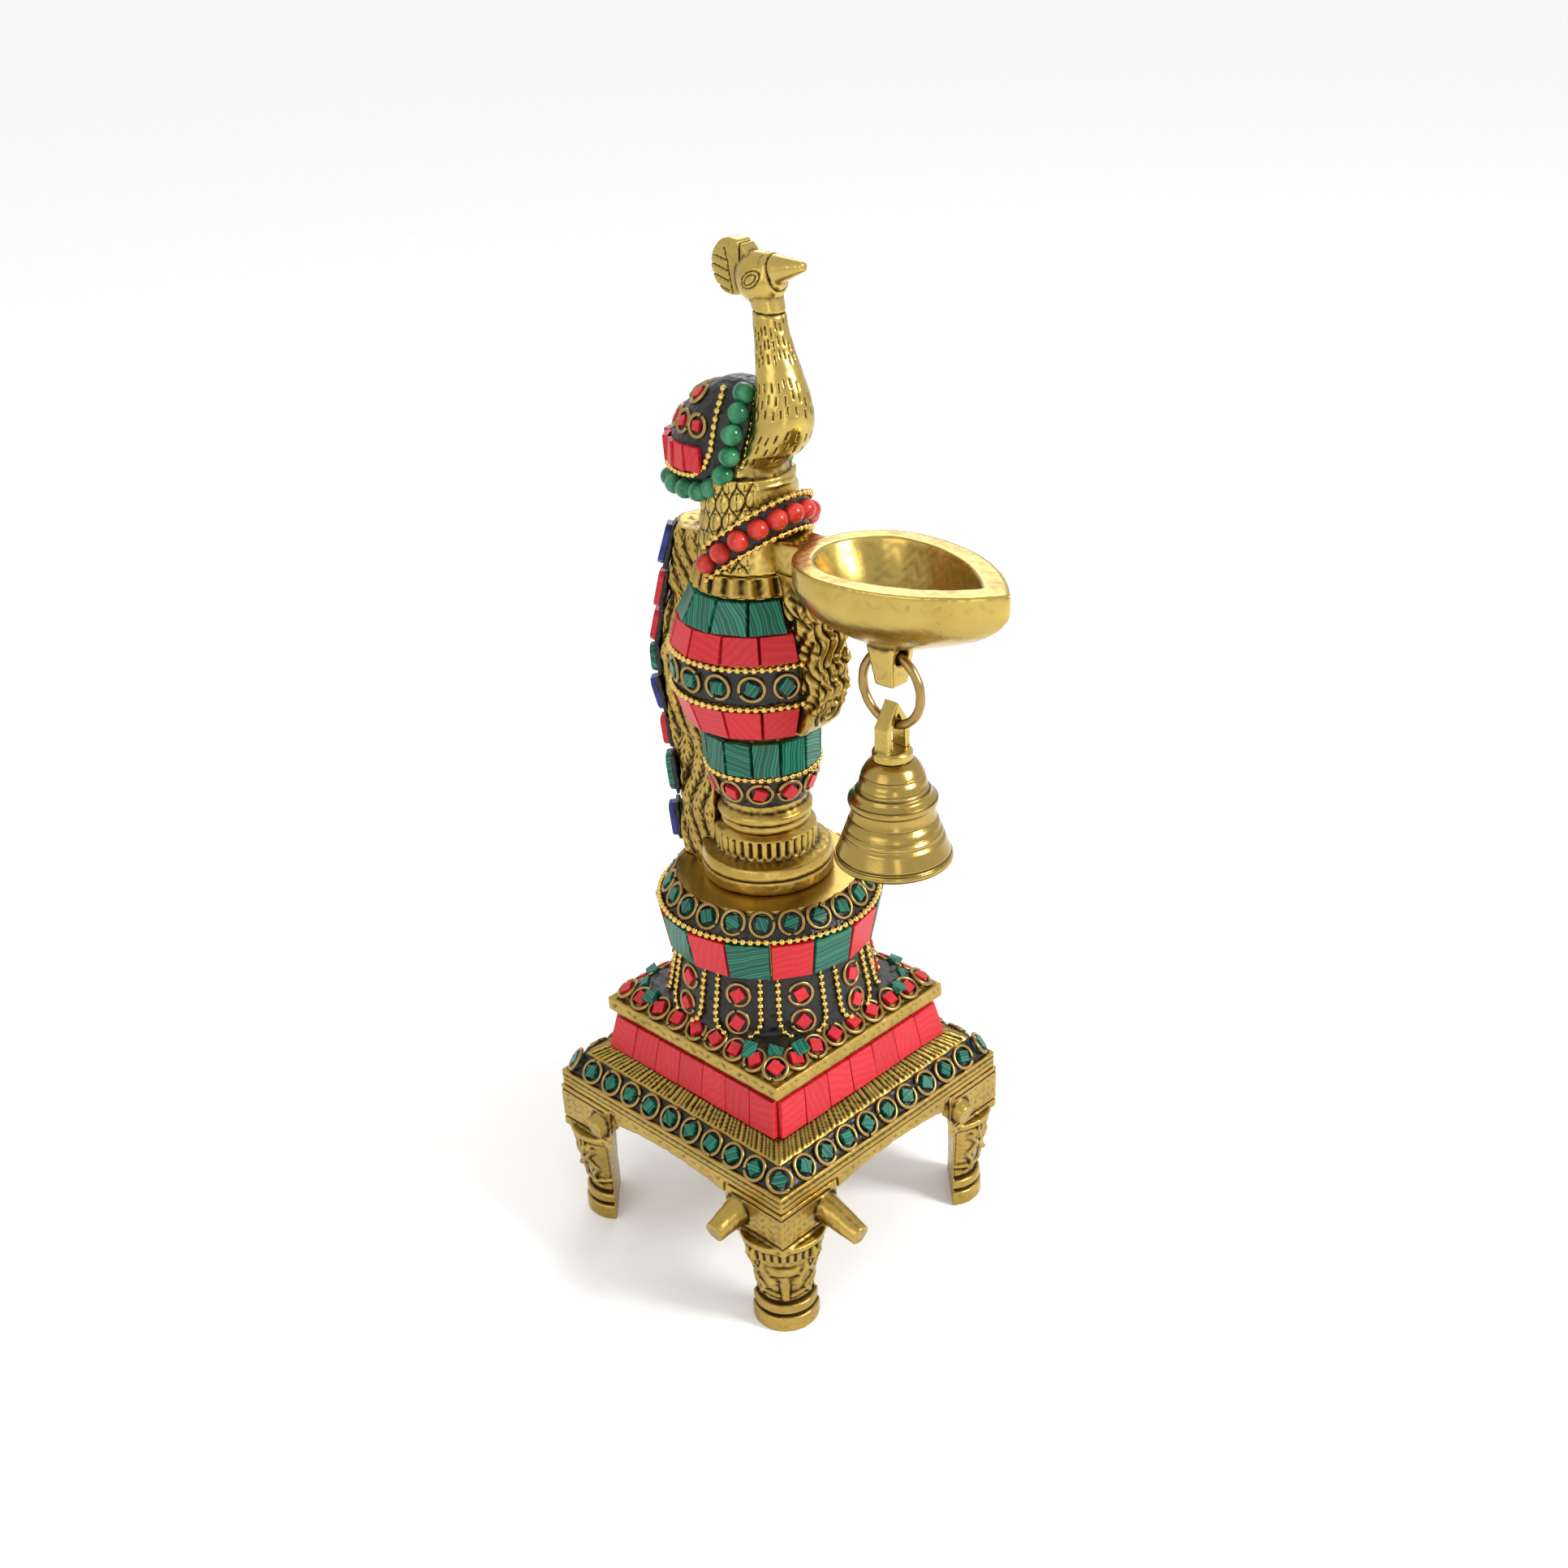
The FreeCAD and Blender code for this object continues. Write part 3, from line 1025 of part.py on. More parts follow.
def make_tail_slabs(plume):
    """Set a stone slab on its resin bed wherever the lists place one."""
    stones = {"lapis": [], "coral": [], "malachite": []}
    beds = []
    half = value_of("tail_width") / 2
    side_turn = math.degrees(math.atan2(TAIL_CHAMFER, half - TAIL_FACE_HALF))
    faces = ((SIDE_SLABS, 1), (SIDE_SLABS, -1), (SPINE_SLABS, 0))
    for slabs, side in faces:
        for number, (stone, height, width, tall) in enumerate(slabs):
            outer, rate = tail_outer(height)
            lean = ROTATION(AXIS_Y, math.degrees(math.atan(rate)))
            face_turn = ROTATION(AXIS_Z, -side * side_turn)
            middle = VECTOR(outer, 0, height)
            if side:
                middle = VECTOR(outer + TAIL_CHAMFER / 2, side * (half + TAIL_FACE_HALF) / 2, height)
            turn = face_turn * lean
            name = "%s_slab_%d_%d" % (stone, side + 1, number)
            setting = value_of("setting_thick")
            for part, out, grow in (("bed", 0.0, 0.5), ("stone", setting, 0.0)):
                box = doc.addObject("Part::Box", "%s_%s" % (name, part))
                thick = "setting_thick" if part == "bed" else "slab_thick"
                bind(box, Length=thick, Width=width + 2 * grow, Height=tall + 2 * grow)
                depth = value_of(thick)
                corner = VECTOR(-out - depth, -width / 2 - grow, -tall / 2 - grow)
                box.Placement = PLACEMENT(middle + turn.multVec(corner), turn)
                (beds if part == "bed" else stones[stone]).append(box)
    keep(cut("tail_beds", group("tail_bed_group", beds), plume), "tail_resin_settings")
    for stone, boxes in stones.items():
        keep(group("tail_%s" % stone, boxes), "tail_%s_slabs" % stone)


# ---------------------------------------------------------------- bowl, bracket and tie rod

def teardrop(sketch, shrink, inset):
    """Draw the bowl's pointed outline, shrunk about a middle that drifts to the lug's line."""
    middle = "(bowl_x + (bell_x - bowl_x) * (1 - %s))" % shrink
    radius = "((bowl_radius - %s) * %s)" % (inset, shrink)
    reach = "((bowl_tip_x - bowl_x - 1.5 * %s) * %s)" % (inset, shrink)
    side_radius = "((%s * %s + %s * %s) / (2 * %s))" % (reach, reach, radius, radius, radius)
    back = ("%s - %s" % (middle, radius), "0")
    left = (middle, radius)
    right = (middle, "-%s" % radius)
    tip = ("%s + %s" % (middle, reach), "0")
    runs = ((left, back, radius, middle, "0"), (back, right, radius, middle, "0"),
            (right, tip, side_radius, middle, "%s - %s" % (side_radius, radius)),
            (tip, left, side_radius, middle, "%s - %s" % (radius, side_radius)))
    for index, (start, end, bend, centre_x, centre_y) in enumerate(runs):
        centre = flat((centre_x, centre_y))
        first = flat(start) - centre
        last = flat(end) - centre
        round_arc = Part.ArcOfCircle(Part.Circle(centre, AXIS_Z, value_of(bend)),
                                     math.atan2(first.y, first.x), math.atan2(last.y, last.x))
        sketch.addGeometry(round_arc, False)
    for index in range(4):
        following = (index + 1) % 4
        sketch.addConstraint(Sketcher.Constraint("Coincident", index, 2, following, 1))
    for index, (start, end, bend, centre_x, centre_y) in enumerate(runs):
        pin(sketch, index, 1, start)
        held = sketch.addConstraint(Sketcher.Constraint("Radius", index, value_of(bend)))
        sketch.setExpression("Constraints[%d]" % held, linked(bend))
    return sketch


def make_bowl(figure, vase):
    body = new_body("bowl_blank")
    hull = []
    for number, (height, shrink) in enumerate((
            ("bowl_wall_z", 1.0), ("bowl_wall_z - 7", 0.80), ("bowl_low_z + 3", 0.48),
            ("bowl_low_z", 0.24))):
        plan = new_sketch(body, "hull_%d" % number, "XY_Plane", height)
        hull.append(teardrop(plan, shrink, "0"))
    loft(body, "bowl_hull", hull)
    wall = teardrop(new_sketch(body, "wall_plan", "XY_Plane", "bowl_wall_z"), 1.0, "0")
    pad(body, "bowl_wall", wall, "bowl_rim_z - bowl_wall_z")
    arm = rectangle(new_sketch(body, "arm_side", "XZ_Plane"), "arm_root_x", "arm_low_z",
                    "bowl_x - bowl_radius + 4", "bowl_rim_z - 0.6")
    pad(body, "arm", arm, "arm_width", both_ways=True)
    lug = []
    for place, height, half_x, half_y in (
            ("root", "lug_root_z", "lug_high_x", "lug_high_y"),
            ("mid", "lug_mid_z", "lug_mid_x", "lug_mid_y"),
            ("low", "lug_low_z", "lug_low_x", "lug_low_y")):
        plan = new_sketch(body, "lug_" + place, "XY_Plane", height)
        lug.append(rectangle(plan, "bell_x - %s" % half_x, "-%s" % half_y,
                             "bell_x + %s" % half_x, half_y))
    tab = loft(body, "lug", lug)
    tab.Ruled = True
    hollow = []
    for number, (height, shrink) in enumerate((
            ("bowl_rim_z + 0.02", 1.0), ("bowl_rim_z - 7", 0.80), ("bowl_floor_z + 2.2", 0.46),
            ("bowl_floor_z", 0.22))):
        plan = new_sketch(body, "hollow_%d" % number, "XY_Plane", height)
        hollow.append(teardrop(plan, shrink, "rim_width"))
    loft(body, "bowl_hollow", hollow, cut=True)
    hole = circle(new_sketch(body, "lug_hole", "YZ_Plane", "bell_x"), ("0", "lug_mid_z"),
                  "lug_hole_radius")
    pocket(body, "lug_way", hole, "4 * lug_high_x", both_ways=True)
    return keep(cut("bowl", body, figure, vase), "diya_bowl")


def make_front_bracket(*neighbours):
    body = new_body("bracket_blank")
    side = polygon(new_sketch(body, "bracket_side", "XZ_Plane"), [
        ("11", "bracket_top_z"), ("bracket_reach - 1", "bracket_top_z"),
        ("bracket_reach", "bracket_top_z - 10"), ("bracket_reach + 1.2", "bracket_top_z - 20"),
        ("bracket_bulge", "bracket_bulge_z + 3"), ("bracket_bulge - 0.6", "bracket_bulge_z - 6"),
        ("bracket_bulge - 4", "bracket_foot_z + 4"), ("bracket_foot", "bracket_foot_z"),
        ("16", "bracket_foot_z"), ("16", "bore_narrow_z"), ("14.4", "bore_end_z"),
        ("11", "bore_end_z + 3")])
    pad(body, "bracket_block", side, "bracket_width", both_ways=True)
    keep(cut("bracket", body, *neighbours), "front_bracket")


def make_tie_rod():
    rod = doc.addObject("Part::Cylinder", "rod")
    bind(rod, Radius="rod_radius", Height="rod_high_z - rod_low_z")
    bind(rod, **{"Placement.Base.z": "rod_low_z"})
    keep(rod, "tie_rod")
    nut = new_body("nut")
    hexagon = []
    for corner in range(6):
        angle = 60 * corner
        hexagon.append(("nut_across / sqrt(3) * cos(%d)" % angle,
                        "nut_across / sqrt(3) * sin(%d)" % angle))
    plan = polygon(new_sketch(nut, "nut_plan", "XY_Plane", "nut_low_z"), hexagon)
    pad(nut, "nut_block", plan, "nut_high_z - nut_low_z")
    thread = circle(new_sketch(nut, "nut_thread", "XY_Plane", "nut_high_z"), ("0", "0"),
                    "rod_radius")
    pocket(nut, "nut_way", thread, "nut_high_z - nut_low_z")
    keep(nut, "tie_nut")
    washer = turned("washer", [
        ("rod_bore", "nut_high_z"), ("washer_radius", "nut_high_z"),
        ("washer_radius", "cavity_z"), ("rod_bore", "cavity_z")])
    keep(washer, "tie_washer")


# ---------------------------------------------------------------- hanging ring, bell and clapper

def torus(name, radius, wire, height, about=None):
    """Make a wire ring whose middle is on the bell's line; about turns it upright."""
    ring = doc.addObject("Part::Torus", name)
    bind(ring, Radius1=radius, Radius2=wire)
    if about:
        ring.Placement = PLACEMENT(VECTOR(), ROTATION(about, 90.0))
    bind(ring, **{"Placement.Base.x": "bell_x", "Placement.Base.z": height})
    return ring


def make_bell():
    keep(torus("ring", "hang_radius", "hang_wire", "lug_mid_z - hang_radius", AXIS_X),
         "hanging_ring")

    outer = [
        ("bell_rim_radius", "bell_rim_z"), ("bell_rim_radius", "bell_lip_z"),
        ("bell_skirt_radius", "bell_skirt_z"), ("bell_waist_radius", "bell_waist_z"),
        ("bell_ridge_radius", "bell_ridge_z"), ("bell_neck_radius", "bell_neck_z"),
        ("bell_crown_radius", "bell_crown_z"), ("bell_high_radius", "bell_high_z"),
        ("stem_radius", "bell_high_z")]
    inner = [
        ("stem_radius", "bell_ceiling_z"), ("bell_crown_radius - 2 * bell_wall", "bell_ceiling_z"),
        ("bell_neck_radius - 1.2 * bell_wall", "bell_neck_z"),
        ("bell_waist_radius - bell_wall", "bell_waist_z"),
        ("bell_skirt_radius - bell_wall", "bell_skirt_z"),
        ("bell_rim_radius - bell_wall", "bell_rim_z")]
    keep(turned("bell", outer + inner, "bell_x"), "bell_shell")

    hanger = turned("hanger", [
        ("0", "stem_low_z"), ("stem_radius", "stem_low_z"), ("stem_radius", "bell_high_z"),
        ("hanger_flange_radius", "bell_high_z"), ("hanger_flange_radius", "hanger_base_z - 0.8"),
        ("hanger_flange_radius - 0.8", "hanger_base_z"), ("0", "hanger_base_z")], "bell_x")
    arch = polygon(new_sketch(hanger, "arch_face", "YZ_Plane"), [
        ("-hanger_half", "hanger_base_z - 0.4"), ("-hanger_half", "hanger_shoulder_z"),
        ("0", "hanger_apex_z"), ("hanger_half", "hanger_shoulder_z"),
        ("hanger_half", "hanger_base_z - 0.4"), ("hanger_inner_half", "hanger_base_z - 0.4"),
        ("hanger_inner_half", "hanger_inner_shoulder_z"), ("0", "hanger_inner_apex_z"),
        ("-hanger_inner_half", "hanger_inner_shoulder_z"),
        ("-hanger_inner_half", "hanger_base_z - 0.4")])
    pad(hanger, "arch", arch, "hanger_depth", both_ways=True)
    staple = torus("staple", "staple_radius", "staple_wire", "staple_z", AXIS_X)
    keep(fuse("hanger_whole", [hanger, staple]), "bell_hanger")

    eye = torus("eye", "staple_radius", "staple_wire", "clapper_eye_z", AXIS_Y)
    rod = doc.addObject("Part::Cylinder", "clapper_rod_round")
    bind(rod, Radius="clapper_rod",
         Height="clapper_eye_z - staple_radius - clapper_rod_low_z + 0.2")
    bind(rod, **{"Placement.Base.x": "bell_x", "Placement.Base.z": "clapper_rod_low_z"})
    weight = ball("weight", (value_of("bell_x"), 0, value_of("clapper_ball_z")), "clapper_ball")
    keep(fuse("clapper_whole", [eye, rod, weight]), "clapper")


# ---------------------------------------------------------------- the whole lamp

def build_lamp():
    stool = make_stool_plate()
    make_leg("leg_front", -45.0, "tusk_long", "tusk_short")
    make_leg("leg_right", 45.0, "tusk_stub", "tusk_stub")
    make_leg("leg_back", 135.0, "tusk_stub", "tusk_stub")
    make_leg("leg_left", -135.0, "tusk_stub", "tusk_stub")
    make_stool_trim(stool)
    make_plinth()
    make_lotus_trim(make_lotus_plate())
    make_drum()
    foot = make_column_foot()
    vase = make_vase()
    make_vase_trim(gap_blocks())
    figure = make_peacock()
    bowl = make_bowl(figure, vase)
    make_front_bracket(vase, figure, bowl)
    make_back_trim(figure)
    plume = make_tail(vase, foot, figure)
    make_tail_slabs(plume)
    make_collar(figure, bowl, doc.getObject("back_resin_cut_0"))
    make_tie_rod()
    make_bell()
    doc.recompute()


def check_and_export():
    """Refuse any failed object or shape, then write one STEP file for each sub-part."""
    for item in doc.Objects:
        if "Invalid" in item.State or "Error" in item.State:
            raise ValueError("%s failed: %s" % (item.Name, item.State))
    for item in subparts:
        shape = item.Shape
        if shape.isNull() or not shape.isValid() or not shape.Solids:
            raise ValueError("%s has no valid solid" % item.Label)
    for item in subparts:
        item.Shape.exportStep("parts/%s.step" % item.Label)
        print("%-26s %3d solids %10.1f mm3" % (item.Label, len(item.Shape.Solids),
                                               item.Shape.Volume))
    print(len(subparts), "sub-parts")


build_lamp()
check_and_export()
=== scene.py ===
import json
import math
import random

import bmesh
import bpy
import numpy as np
from mathutils import Matrix, Vector


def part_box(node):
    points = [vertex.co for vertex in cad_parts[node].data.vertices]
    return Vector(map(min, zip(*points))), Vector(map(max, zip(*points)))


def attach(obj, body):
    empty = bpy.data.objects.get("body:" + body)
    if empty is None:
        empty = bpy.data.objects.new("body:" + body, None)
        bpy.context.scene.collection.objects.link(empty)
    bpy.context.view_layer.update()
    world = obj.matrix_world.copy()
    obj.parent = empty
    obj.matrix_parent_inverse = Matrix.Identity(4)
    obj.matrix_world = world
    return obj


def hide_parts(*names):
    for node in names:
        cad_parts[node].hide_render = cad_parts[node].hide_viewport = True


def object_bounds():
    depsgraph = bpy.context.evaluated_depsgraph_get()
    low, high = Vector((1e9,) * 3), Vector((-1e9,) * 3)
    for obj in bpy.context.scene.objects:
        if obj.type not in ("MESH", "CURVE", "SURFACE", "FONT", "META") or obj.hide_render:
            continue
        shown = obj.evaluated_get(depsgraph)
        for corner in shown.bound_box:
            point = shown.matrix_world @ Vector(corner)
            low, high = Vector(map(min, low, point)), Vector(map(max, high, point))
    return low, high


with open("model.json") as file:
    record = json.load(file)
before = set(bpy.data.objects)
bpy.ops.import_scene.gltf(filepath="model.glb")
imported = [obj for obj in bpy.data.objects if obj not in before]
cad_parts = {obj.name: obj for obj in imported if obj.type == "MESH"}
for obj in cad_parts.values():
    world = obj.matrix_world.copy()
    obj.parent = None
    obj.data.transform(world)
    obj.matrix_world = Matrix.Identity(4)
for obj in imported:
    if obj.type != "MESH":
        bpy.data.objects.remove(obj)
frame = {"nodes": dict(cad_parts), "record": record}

cad_box = [list(corner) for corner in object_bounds()]
MM = 0.001
WELD = 2e-6  # points closer than this, in metres, are one point
BEAD_RADIUS = 0.95 * MM
RING_RADIUS = 3.2  # of the wire rings round the small stones, in millimetres
BACK_RING_RADIUS = 2.7
WIRE_RADIUS = 0.56
BODY_MIDDLE = np.array([-0.007, 0.0, 0.232])  # of the peacock's body, in metres
BASE_SLOTS = {part["node"]: part["material_slot"] for part in frame["record"]["subparts"]}
BODY_OF = {node: body for body, nodes in frame["record"]["behaviour"]["bodies"].items()
           for node in nodes}


# -------- small helpers

def box_mm(node):
    """Return a CAD node's lowest and highest corners in millimetres."""
    low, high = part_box(node)
    return np.array(low) / MM, np.array(high) / MM


def unit(vector):
    """Return a vector of length one."""
    return vector / max(np.linalg.norm(vector), 1e-12)


def step(value, edge, soft):
    """Rise smoothly from 0 to 1 as the value passes the edge."""
    share = np.clip((value - edge) / soft + 0.5, 0, 1)
    return share * share * (3 - 2 * share)


def band(value, low, high, soft=0.6):
    """Be 1 between low and high and 0 outside, with soft edges."""
    return step(value, low, soft) * (1 - step(value, high, soft))


def groove(distance, width):
    """A cut's depth, from 0 to 1, at a distance from its middle line."""
    return np.exp(-(distance / width) ** 2)


def ripple(place, scale, seed=0.0):
    """Soft irregular waves from -1 to 1, made of a few crossed sines."""
    x, y, z = (place / scale).T
    total = np.sin(x * 1.7 + 2.1 * np.sin(y * 1.3 + seed) + seed)
    total += np.sin(y * 1.9 + 1.8 * np.sin(z * 1.1 + 2 * seed) + 1.3 * seed)
    total += np.sin(z * 2.2 + 2.2 * np.sin(x * 1.2 + 3 * seed) - seed)
    return total / 3


def islands(node):
    """Return the points of each separate solid of a CAD node, in metres."""
    welded = bmesh.new()
    welded.from_mesh(frame["nodes"][node].data)
    bmesh.ops.remove_doubles(welded, verts=welded.verts, dist=WELD)
    welded.verts.ensure_lookup_table()
    seen = set()
    found = []
    for start in welded.verts:
        if start.index in seen:
            continue
        seen.add(start.index)
        waiting = [start]
        members = []
        while waiting:
            vert = waiting.pop()
            members.append(list(vert.co))
            for edge in vert.link_edges:
                other = edge.other_vert(vert)
                if other.index not in seen:
                    seen.add(other.index)
                    waiting.append(other)
        found.append(np.array(members))
    welded.free()
    return found


def own_axes(points, away):
    """Return a solid's middle and its long, middle and thin axes; the thin one points outwards."""
    middle = points.mean(0)
    axes = np.linalg.svd(points - middle, full_matrices=False)[2]
    thin = axes[2]
    outward = middle - away(middle)
    if np.dot(thin, outward) < 0:
        thin = -thin
    return middle, axes[0], np.cross(thin, axes[0]), thin


def from_axis(middle):
    """Where a stone on the column faces away from: the axis, a little below the stone."""
    drop = 0.004
    return np.array([0.0, 0.0, middle[2] - drop])


def from_body(middle):
    """Where a stone on the peacock's back faces away from."""
    return BODY_MIDDLE


def spun(angle):
    """Return the matrix that turns a stone's points about its thin axis."""
    return np.array([[math.cos(angle), math.sin(angle), 0],
                     [-math.sin(angle), math.cos(angle), 0], [0, 0, 1]])


def shaken(chance, reach):
    """Draw a random vector whose parts lie between -reach and reach."""
    return np.array([chance.uniform(-reach, reach) for _ in range(3)])


def grid_faces(spans, rows, columns):
    """Return the faces of a tube of rows of points; it closes on itself when rows == spans."""
    faces = []
    for index in range(spans):
        after = (index + 1) % rows
        for part in range(columns):
            following = (part + 1) % columns
            faces.append([index * columns + part, after * columns + part,
                          after * columns + following, index * columns + following])
    return faces


def add_piece(name, mesh, slot, body, replaced, smooth=True):
    """Link a mesh as a piece of the object."""
    piece = bpy.data.objects.new(name, mesh)
    bpy.context.scene.collection.objects.link(piece)
    for face in mesh.polygons:
        face.use_smooth = smooth
    mesh.materials.clear()
    mesh.materials.append(MATERIALS[slot])
    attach(piece, body)
    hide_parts(*replaced)
    return piece


def write_points(mesh, name, values):
    """Store one number or one vector per point, for the materials to read."""
    kind = "FLOAT" if values.ndim == 1 else "FLOAT_VECTOR"
    attribute = mesh.attributes.new(name, kind, "POINT")
    key = "value" if values.ndim == 1 else "vector"
    attribute.data.foreach_set(key, values.astype(np.float32).ravel())


# -------- materials

class Nodes:
    """A small helper that wires one material's shader nodes."""

    def __init__(self, name):
        self.material = bpy.data.materials.new(name)
        self.material.use_nodes = True
        self.tree = self.material.node_tree
        self.shader = self.tree.nodes["Principled BSDF"]

    def make(self, kind, **inputs):
        node = self.tree.nodes.new(kind)
        for key, value in inputs.items():
            node.inputs[key.replace("_", " ")].default_value = value
        return node

    def link(self, source, target):
        self.tree.links.new(source, target)

    def value(self, key, amount):
        self.shader.inputs[key].default_value = amount

    def attribute(self, name):
        node = self.tree.nodes.new("ShaderNodeAttribute")
        node.attribute_name = name
        return node

    def ramp(self, source, stops):
        node = self.tree.nodes.new("ShaderNodeValToRGB")
        node.color_ramp.elements[0].position = stops[0][0]
        node.color_ramp.elements[0].color = (*stops[0][1], 1)
        node.color_ramp.elements[1].position = stops[-1][0]
        node.color_ramp.elements[1].color = (*stops[-1][1], 1)
        for place, colour in stops[1:-1]:
            node.color_ramp.elements.new(place).color = (*colour, 1)
        self.link(source, node.inputs["Fac"])
        return node.outputs["Color"]

    def noise(self, scale, detail=4.0, rough=0.55, coords=None):
        node = self.make("ShaderNodeTexNoise", Scale=scale, Detail=detail, Roughness=rough)
        source = coords or self.tree.nodes.new("ShaderNodeTexCoord").outputs["Object"]
        self.link(source, node.inputs["Vector"])
        return node.outputs["Fac"]

    def mix(self, share, first, second, mode="MIX"):
        """Mix two colours; the mix node's colour sockets are inputs 6 and 7 and output 2."""
        node = self.tree.nodes.new("ShaderNodeMix")
        node.data_type = "RGBA"
        node.blend_type = mode
        if isinstance(share, float):
            node.inputs["Factor"].default_value = share
        else:
            self.link(share, node.inputs["Factor"])
        for socket, source in ((node.inputs[6], first), (node.inputs[7], second)):
            if isinstance(source, tuple):
                socket.default_value = (*source, 1)
            else:
                self.link(source, socket)
        return node.outputs[2]

    def span(self, source, low, high):
        node = self.make("ShaderNodeMapRange", To_Min=low, To_Max=high)
        self.link(source, node.inputs["Value"])
        return node.outputs["Result"]

    def add(self, first, second):
        node = self.tree.nodes.new("ShaderNodeMath")
        node.operation = "ADD"
        node.use_clamp = True
        self.link(first, node.inputs[0])
        self.link(second, node.inputs[1])
        return node.outputs[0]

    def bump(self, source, strength, distance):
        node = self.make("ShaderNodeBump", Strength=strength, Distance=distance)
        self.link(source, node.inputs["Height"])
        self.link(node.outputs["Normal"], self.shader.inputs["Normal"])


def brass(name, light, shade, rough, grime):
    """Polished brass whose hollows hold dark patina; a mesh's point attribute says where, and on
    the vase it also marks painted shade behind the tile rows.
    """
    # the dark patina colour, also used as painted shade on the vase behind its tile rows
    patina_and_shade_colour = (0.030, 0.016, 0.006)
    made = Nodes(name)
    fine = made.noise(900.0, 6.0, 0.6)
    broad = made.noise(108.0, 3.0, 0.5)
    tone = made.mix(made.span(broad, 0.0, 1.0), light, shade)
    cavity = made.attribute("cavity").outputs["Fac"]
    specks = made.ramp(fine, [(0.0, (1, 1, 1)), (0.33, (0.6, 0.6, 0.6)), (0.41, (0, 0, 0))])
    patchy = made.ramp(broad, [(0.35, (0, 0, 0)), (0.75, (grime, grime, grime))])
    spotted = made.mix(1.0, specks, patchy, "MULTIPLY")
    # patina in the hollows, random grime spots, and on the vase painted shade behind the tile rows
    dirt_and_shade = made.add(cavity, spotted)
    made.link(made.mix(dirt_and_shade, tone, patina_and_shade_colour), made.shader.inputs["Base Color"])
    made.value("Metallic", 1.0)
    roughness = made.add(made.span(fine, rough - 0.06, rough + 0.08), made.span(dirt_and_shade, 0.0, 0.3))
    made.link(roughness, made.shader.inputs["Roughness"])
    made.bump(fine, 0.22, 0.00016)
    return made.material


def stone(name, rough, bands, veins, stops):
    """Polished stone: colour bands or faint streaks in each piece's own coordinates."""
    faint = 0.16
    pale_vein = (0.92, 0.62, 0.60)
    made = Nodes(name)
    local = made.attribute("local").outputs["Vector"]
    tint = made.attribute("tint").outputs["Fac"]
    wave = made.make("ShaderNodeTexWave", Scale=bands or faint,
                     Distortion=5.0 if bands else 9.0,
                     Detail=3.0, Detail_Scale=0.5, Detail_Roughness=0.6)
    made.link(local, wave.inputs["Vector"])
    colour = made.ramp(wave.outputs["Fac"], stops)
    light = made.mix(0.35, colour, (1.0, 1.0, 1.0), "SOFT_LIGHT")
    colour = made.mix(tint, colour, light)
    if veins:
        streak = made.noise(1.6, 8.0, 0.7, local)
        pale = made.ramp(streak, [(0.60, (0, 0, 0)), (0.78, (veins, veins, veins))])
        colour = made.mix(pale, colour, pale_vein)
    made.link(colour, made.shader.inputs["Base Color"])
    grain = made.noise(3.0, 5.0, 0.6, local)
    made.link(made.span(grain, rough - 0.06, rough + 0.12), made.shader.inputs["Roughness"])
    made.value("Specular IOR Level", 0.35)
    made.bump(grain, 0.06, 0.0001)
    return made.material


def resin(name):
    """The black filler between the stones: lumpy and a little glossy."""
    made = Nodes(name)
    lumps = made.noise(420.0, 5.0, 0.6)
    colour = made.ramp(lumps, [(0.3, (0.004, 0.004, 0.004)), (0.75, (0.022, 0.021, 0.018))])
    made.link(colour, made.shader.inputs["Base Color"])
    made.link(made.span(lumps, 0.18, 0.42), made.shader.inputs["Roughness"])
    made.value("Specular IOR Level", 0.3)
    made.bump(lumps, 0.5, 0.0004)
    return made.material


def steel(name):
    """The plain steel of the tie rod, nut and washer."""
    made = Nodes(name)
    streak = made.noise(1500.0, 4.0, 0.5)
    made.link(made.ramp(streak, [(0.2, (0.30, 0.30, 0.31)), (0.8, (0.62, 0.62, 0.63))]),
              made.shader.inputs["Base Color"])
    made.value("Metallic", 1.0)
    made.link(made.span(streak, 0.28, 0.45), made.shader.inputs["Roughness"])
    made.bump(streak, 0.1, 0.0001)
    return made.material


def floor_paper(name):
    """Matt white paper."""
    made = Nodes(name)
    weave = made.noise(60.0, 3.0, 0.5)
    made.link(made.ramp(weave, [(0.3, (0.94, 0.94, 0.94)), (0.7, (0.96, 0.96, 0.96))]),
              made.shader.inputs["Base Color"])
    made.value("Roughness", 0.9)
    made.value("Specular IOR Level", 0.1)
    return made.material


